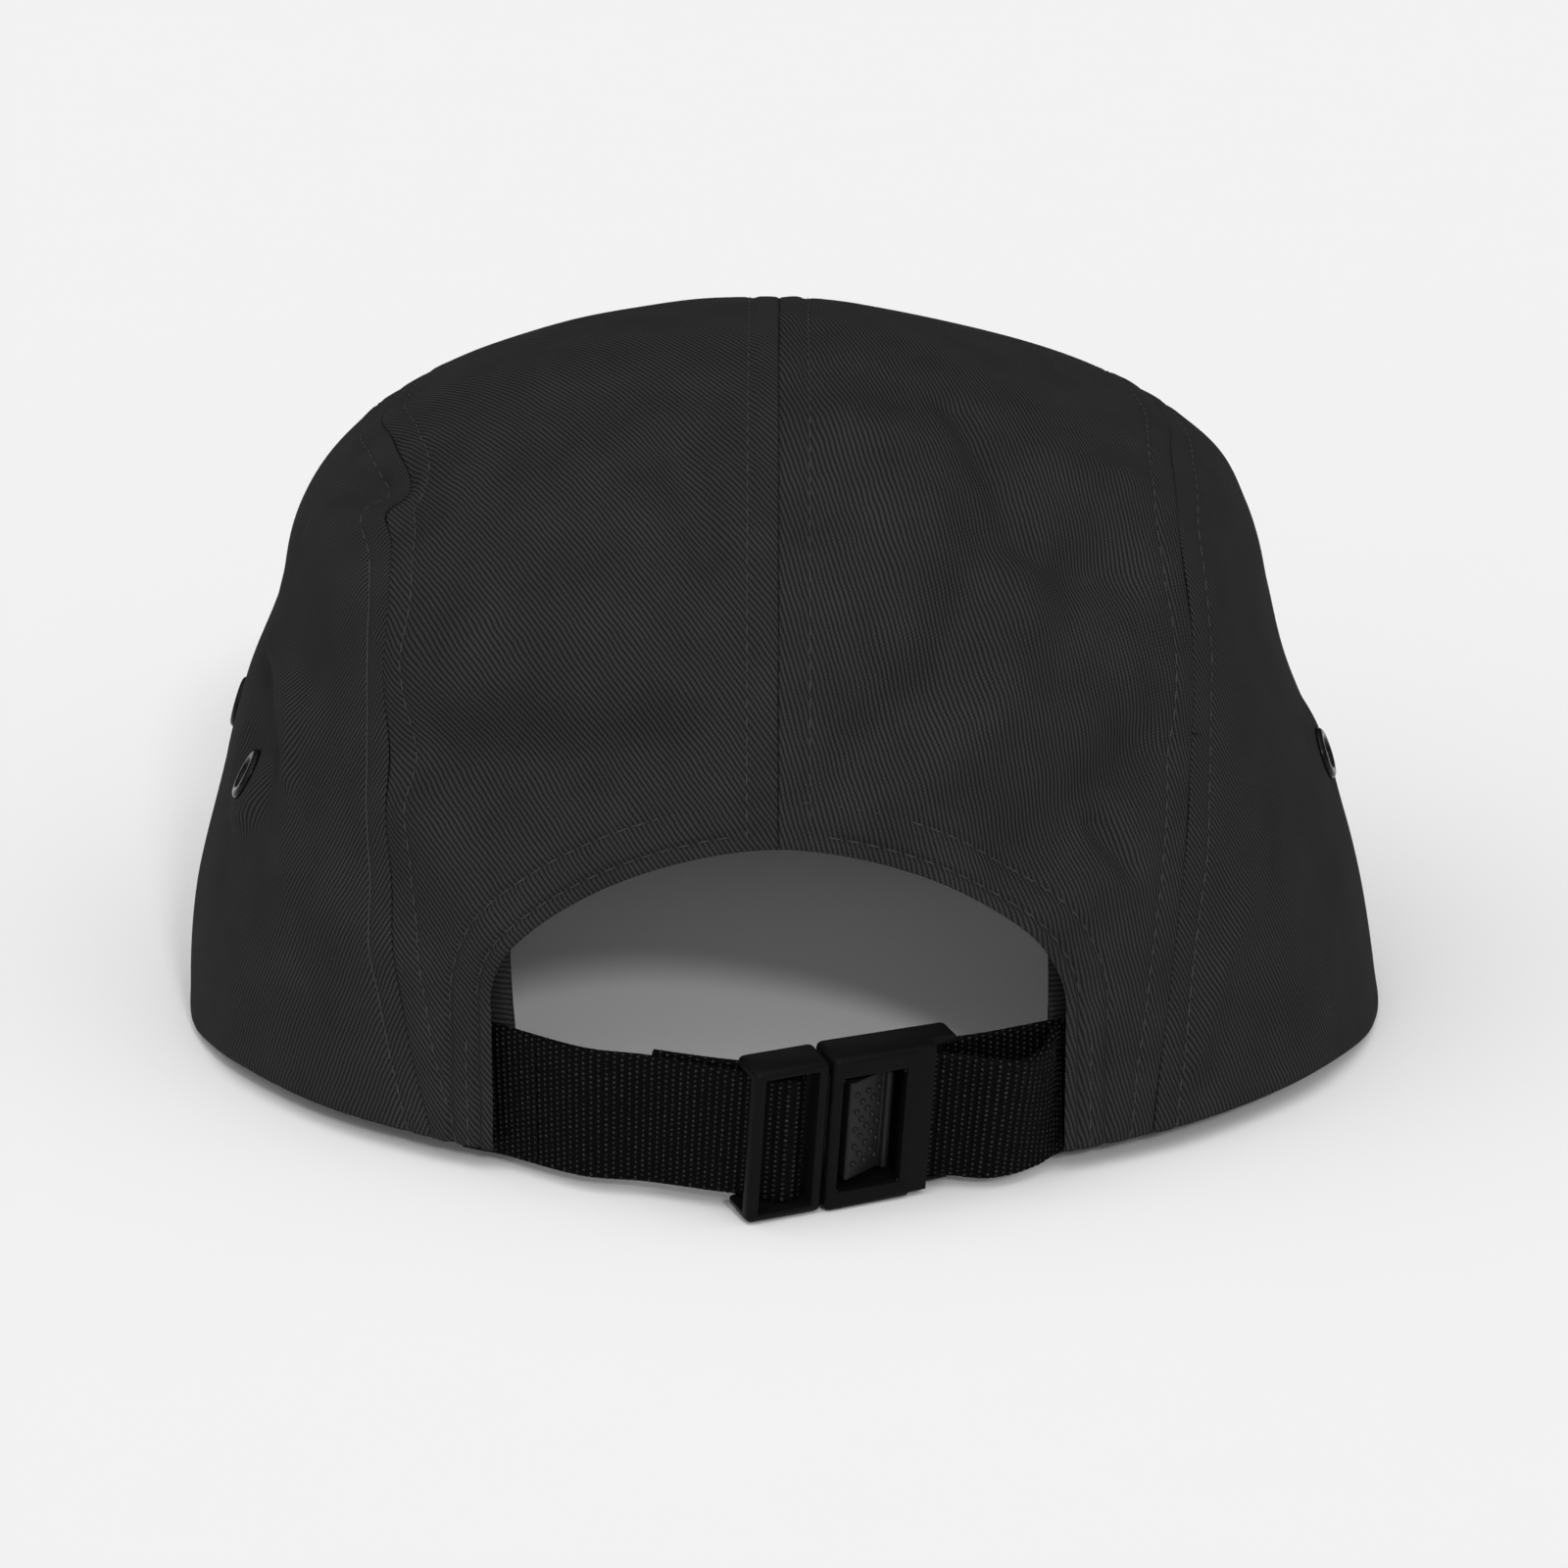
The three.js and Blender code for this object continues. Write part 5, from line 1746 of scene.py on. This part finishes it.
@dataclass
class Buckle:
    """Press buckle: a hollow socket with a window, and a tongue whose thumb pad shows in it."""

    place: BucklePlace
    slot_half_height: float = 11.0
    socket_end: float = -21.0
    socket_face_end: float = -16.4
    socket_divider: float = -14.2
    socket_taper: float = 0.3
    cavity_end: float = -12.6
    cavity_half_height: float = 9.7
    face_thickness: float = 1.5
    window: tuple[float, float] = (-11.8, -1.5)
    window_half_height: float = 9.4
    tongue_start: float = 0.35
    tongue_wall: float = 1.8
    tongue_end: float = 12.4
    tongue_front: float = 3.6
    tongue_half_height: float = 12.3
    frame_bar: float = 1.7
    prong_half_height: float = 9.0
    pad_half_height: float = 8.0
    bar_radius: float = 1.1
    bar_depth: float = -0.5
    tongue_bar: float = 5.2
    socket_bar: float = -18.7
    pad_profile: tuple[tuple[float, float], ...] = (
        (0.5, -1.9), (0.5, -0.3), (-3.0, -0.3), (-3.0, 3.1), (-3.4, 3.35), (-9.6, 0.9), (-9.9, 1.7),
        (-10.6, 1.7), (-11.1, 1.3), (-11.1, -1.9),
    )
    dot_columns: tuple[tuple[float, int], ...] = ((-4.5, 5), (-5.55, 4), (-6.6, 5), (-7.65, 4), (-8.7, 5))
    dot_step: float = 2.85
    dot_radius: float = 0.48
    step_at: float = -13.3
    step_depth: float = 0.35
    step_rise: float = 0.9
    back_wall: float = 0.9
    rounding: float = 0.95
    cut_rounding: float = 0.35
    step_rounding: float = 0.1
    frame_rounding: float = 0.4
    prong_rounding: float = 0.2
    pad_rounding: float = 0.22
    pip_radius: float = 0.32

    def build(self) -> None:
        """Makes both halves and the thumb pad."""
        black, lightened_pad_plastic = PLASTIC.build(), LIGHTENED_PAD.build()
        for name, body, material, stands_for in (
            ("buckle_socket_moulding", self._socket(), black, ("buckle_socket",)),
            ("buckle_tongue_moulding", self._tongue(), black, ("buckle_tongue",)),
            # The thumb pad gets the lightened copy of the plastic: painted light.
            ("thumb_pad", self._pad(), lightened_pad_plastic, ()),
        ):
            bmesh.ops.transform(body, matrix=TO_ROW @ self.place.matrix, verts=body.verts)
            mesh = mesh_of(name, body)
            place_piece(name, mesh, material, stands_for)
            mesh.set_sharp_from_angle(angle=math.radians(50))

    def _socket(self) -> bmesh.types.BMesh:
        """Hollow body with a window in its face, and a slot with a bar for the right strap."""
        front, rear, half = self.place.front, self.place.rear, self.place.half_height
        body = Workbench.block((self.socket_end, 0), (rear, front), (-half, half))
        for vertex in body.verts:
            if vertex.co.x < -1:
                vertex.co.z -= math.copysign(self.socket_taper, vertex.co.z)
        Workbench.soften(body, self.rounding)
        face, beyond, slot = front - self.face_thickness, front + 1, self.slot_half_height
        tall, deep, outside = self.window_half_height, self.cavity_half_height, self.socket_end - 1
        cavity = Workbench.block((self.cavity_end, 1), (rear + self.back_wall, face), (-deep, deep))
        window = Workbench.block(self.window, (0, beyond), (-tall, tall))
        opening = Workbench.block((outside, self.socket_divider), (-beyond, face), (-slot, slot))
        beside = (-half - 1, half + 1)
        shortening = Workbench.block((outside, self.socket_face_end), (face - 1, beyond), beside)
        bar = Workbench.bar(self.socket_bar, self.bar_depth, self.bar_radius, slot + 0.4)
        body = Workbench.combine(body, (
            *((Joining.DIFFERENCE, cut) for cut in (cavity, window, opening, shortening)),
            (Joining.UNION, bar),
        ))
        Workbench.soften(body, self.cut_rounding)
        body = Workbench.combine(body, tuple(
            (Joining.DIFFERENCE, Workbench.block((outside, self.step_at), out, up))
            for out, up in (
                ((front - self.step_depth, beyond), beside),
                ((rear - 1, beyond), (-half - 1, self.step_rise - half)),
            )
        ))
        Workbench.soften(body, self.step_rounding)
        for along in (self.window[0] + 0.35, self.window[1] - 0.1):
            for up in (-tall + 0.35, tall - 0.35):
                Workbench.dot(body, (along, front - 0.12, up), self.pip_radius)
        return body

    def _tongue(self) -> bmesh.types.BMesh:
        """Frame for the left strap, and the prong that reaches into the socket."""
        rear, front = self.place.rear, self.tongue_front
        tall, slot = self.tongue_half_height, self.slot_half_height
        start, end, bar = self.tongue_start, self.tongue_end, self.frame_bar
        body = Workbench.block((start, end), (rear, front), (-tall, tall))
        Workbench.soften(body, self.rounding)
        body = Workbench.combine(body, (
            *(
                (Joining.DIFFERENCE, Workbench.block(along, (rear - 1, reach), (-slot, slot)))
                for along, reach in (
                    ((start + self.tongue_wall, end - bar), front + 2),
                    ((end - bar - 1, end + 1), front - bar),
                )
            ),
            (Joining.UNION, Workbench.bar(self.tongue_bar, self.bar_depth, self.bar_radius, slot + 0.4)),
        ))
        Workbench.soften(body, self.frame_rounding)
        prong = Workbench.block((self.window[0] + 0.5, start + 0.4), (-1.9, -0.4),
                                (-self.prong_half_height, self.prong_half_height))
        Workbench.soften(prong, self.prong_rounding)
        Workbench.add(body, prong)
        return body

    def _pad(self) -> bmesh.types.BMesh:
        """Sloping thumb pad with its lip and its raised dots."""
        body = bmesh.new()
        tall = self.pad_half_height
        foot = [body.verts.new((along, out, -tall)) for along, out in self.pad_profile]
        face = body.faces.new(foot)
        grown = bmesh.ops.extrude_face_region(body, geom=[face])
        moved = [item for item in grown["geom"] if isinstance(item, bmesh.types.BMVert)]
        bmesh.ops.translate(body, verts=moved, vec=(0, 0, 2 * tall))
        bmesh.ops.recalc_face_normals(body, faces=body.faces)
        Workbench.soften(body, self.pad_rounding)
        (a0, o0), (a1, o1) = self.pad_profile[4:6]
        for along, count in self.dot_columns:
            out = o0 + (o1 - o0) * (along - a0) / (a1 - a0)
            for k in range(count):
                up = (k - (count - 1) / 2) * self.dot_step
                Workbench.dot(body, (along, out, up), self.dot_radius)
        return body


# Studio


@dataclass
class Studio:
    """Pale floor, soft light and the camera, which looks at the back of the cap from a little above."""

    target: tuple[float, float, float] = (0.12, 26.75, 35.53)
    elevation: float = 18.0
    distance: float = 850.0
    lens: float = 122.4
    floor_size: float = 9.0
    floor_tone: float = 0.96
    floor_mottle: float = 40.0
    backdrop: tuple[float, float, float, float] = (0.896, 0.896, 0.896, 1.0)
    sky: float = 2.18
    sky_base: float = 0.05
    sky_towards: tuple[float, float, float] = (0.12, 0.49, 0.863)
    sun: float = 0.87
    sun_elevation: float = 29.0
    sun_aside: float = 14.0
    sun_size: float = 5.8
    fill: float = 0.0074
    fill_place: tuple[float, float, float] = (0.0, -8.0, 86.0)
    fill_size: float = 80.0

    def build(self) -> None:
        """Adds the camera, the floor and the lights."""
        scene = bpy.context.scene
        scene.view_settings.view_transform = "Standard"
        lift = math.radians(self.elevation)
        target = Vector(self.target) / MM
        away = Vector((0, math.cos(lift), math.sin(lift))) * self.distance / MM
        camera = put_in_scene("camera", bpy.data.cameras.new("camera"))
        camera.location = target + away
        camera.rotation_euler = (-away).to_track_quat("-Z", "Y").to_euler()
        camera.data.lens = self.lens
        camera.data.sensor_width = 36
        camera.data.clip_start, camera.data.clip_end = 0.01, 50
        scene.camera = camera
        self._floor()
        self._sky()
        self._sun()
        self._fill()

    def _floor(self) -> None:
        """Large pale floor."""
        body = bmesh.new()
        bmesh.ops.create_grid(body, x_segments=1, y_segments=1, size=self.floor_size / 2)
        mesh = mesh_of("floor", body)
        floor = put_in_scene("floor", mesh)
        material = bpy.data.materials.new("floor_paper")
        material.use_nodes = True
        tools = ShaderTools(material.node_tree)
        shader = material.node_tree.nodes["Principled BSDF"]
        shader.inputs["Roughness"].default_value = 0.9
        shader.inputs["Specular IOR Level"].default_value = 0.0
        where = tools.add("ShaderNodeTexCoord")
        darker, lighter = ((tone, tone, tone, 1.0) for tone in (self.floor_tone * 0.995, self.floor_tone))
        tone = tools.blend(tools.noise(where.outputs["Object"], self.floor_mottle), darker, lighter)
        tools.link(tone, shader.inputs["Base Color"])
        mesh.materials.append(material)

    def _sky(self) -> None:
        """Even soft light from above and behind the camera, and a pale backdrop for the camera."""
        world = bpy.data.worlds.new("studio")
        world.use_nodes = True
        bpy.context.scene.world = world
        world.node_tree.nodes.clear()
        tools = ShaderTools(world.node_tree)
        where = tools.add("ShaderNodeTexCoord")
        facing = tools.add("ShaderNodeVectorMath")
        facing.operation = "DOT_PRODUCT"
        facing.inputs[1].default_value = self.sky_towards
        tools.link(where.outputs["Generated"], facing.inputs[0])
        share = tools.math("POWER", tools.math("MAXIMUM", facing.outputs["Value"], 0.0), 2.0)
        strength = tools.math("MULTIPLY_ADD", share, self.sky, self.sky_base)
        light = tools.add("ShaderNodeBackground")
        tools.link(strength, light.inputs["Strength"])
        backdrop = tools.add("ShaderNodeBackground")
        backdrop.inputs["Color"].default_value = self.backdrop
        path = tools.add("ShaderNodeLightPath")
        mix = tools.add("ShaderNodeMixShader")
        tools.link(path.outputs["Is Camera Ray"], mix.inputs[0])
        tools.link(light.outputs[0], mix.inputs[1])
        tools.link(backdrop.outputs[0], mix.inputs[2])
        output = tools.add("ShaderNodeOutputWorld")
        tools.link(mix.outputs[0], output.inputs["Surface"])

    def _sun(self) -> None:
        """Large soft lamp behind the camera, a little to its right, which shines in through the arch."""
        lamp = bpy.data.lights.new("key", "SUN")
        lamp.energy = self.sun
        lamp.angle = math.radians(self.sun_size)
        holder = put_in_scene("key", lamp)
        lift, aside = math.radians(self.sun_elevation), math.radians(self.sun_aside)
        towards = Matrix.Rotation(aside, 3, "Z") @ Vector((0, math.cos(lift), math.sin(lift)))
        holder.rotation_euler = (-towards).to_track_quat("-Z", "Y").to_euler()

    def _fill(self) -> None:
        """Weak round lamp under the top of the crown, unseen itself, which lifts the shade inside."""
        lamp = bpy.data.lights.new("fill", "AREA")
        lamp.shape = "DISK"
        lamp.size = self.fill_size / MM
        lamp.energy = self.fill
        holder = put_in_scene("fill", lamp)
        holder.location = Vector(self.fill_place) / MM
        holder.visible_camera = False


LEFT_PATH = (
    (27.8, -20.6, 1), (21.2, -14.4, 4), (12.5, -4.1, 8), (6.6, 1.0, 8), (5.2, 1.55, 8), (3.75, 0.95, 8),
    (3.15, -0.5, 8), (3.75, -1.95, 8), (6.2, -4.0, 8), (10.6, -7.1, 7), (16.5, -12.9, 5), (19.2, -15.9, 4),
)
RIGHT_PATH = (
    (-34, 4.4, 9), (-29.5, 6.2, 13), (-25.5, 5.8, 11), (-22.2, 3.4, 9), (-18.7, 1.55, 8), (-17.25, 0.95, 8),
    (-16.65, -0.5, 8), (-17.25, -1.95, 8), (-18.7, -2.55, 8), (-22, -2.2, 7), (-27, -1.6, 4), (-32, -1.4, 1),
)


def main() -> None:
    """Builds the cap and its studio."""
    logging.basicConfig(level=logging.INFO, format="%(name)s: %(message)s")
    Studio().build()
    for make in (twill_group, webbing_group, rib_group, grain_group):
        make()
    shape = CrownShape()
    crown = Crown(shape)
    crown.build()
    Eyelets(crown).build()
    Peak(shape).build()
    Sweatband(shape).build()
    place = BucklePlace()
    stitching = Stitching("strap_stitching", pitch=2.2, thread=0.4)
    Strap(Side.LEFT, shape, place, LEFT_PATH, seam_at=14.0).build(stitching)
    Strap(Side.RIGHT, shape, place, RIGHT_PATH, returns=True).build(stitching)
    stitching.finish(STRAP_THREAD.build(), Slot.WEBBING)
    Buckle(place).build()


if __name__ == "__main__":
    main()
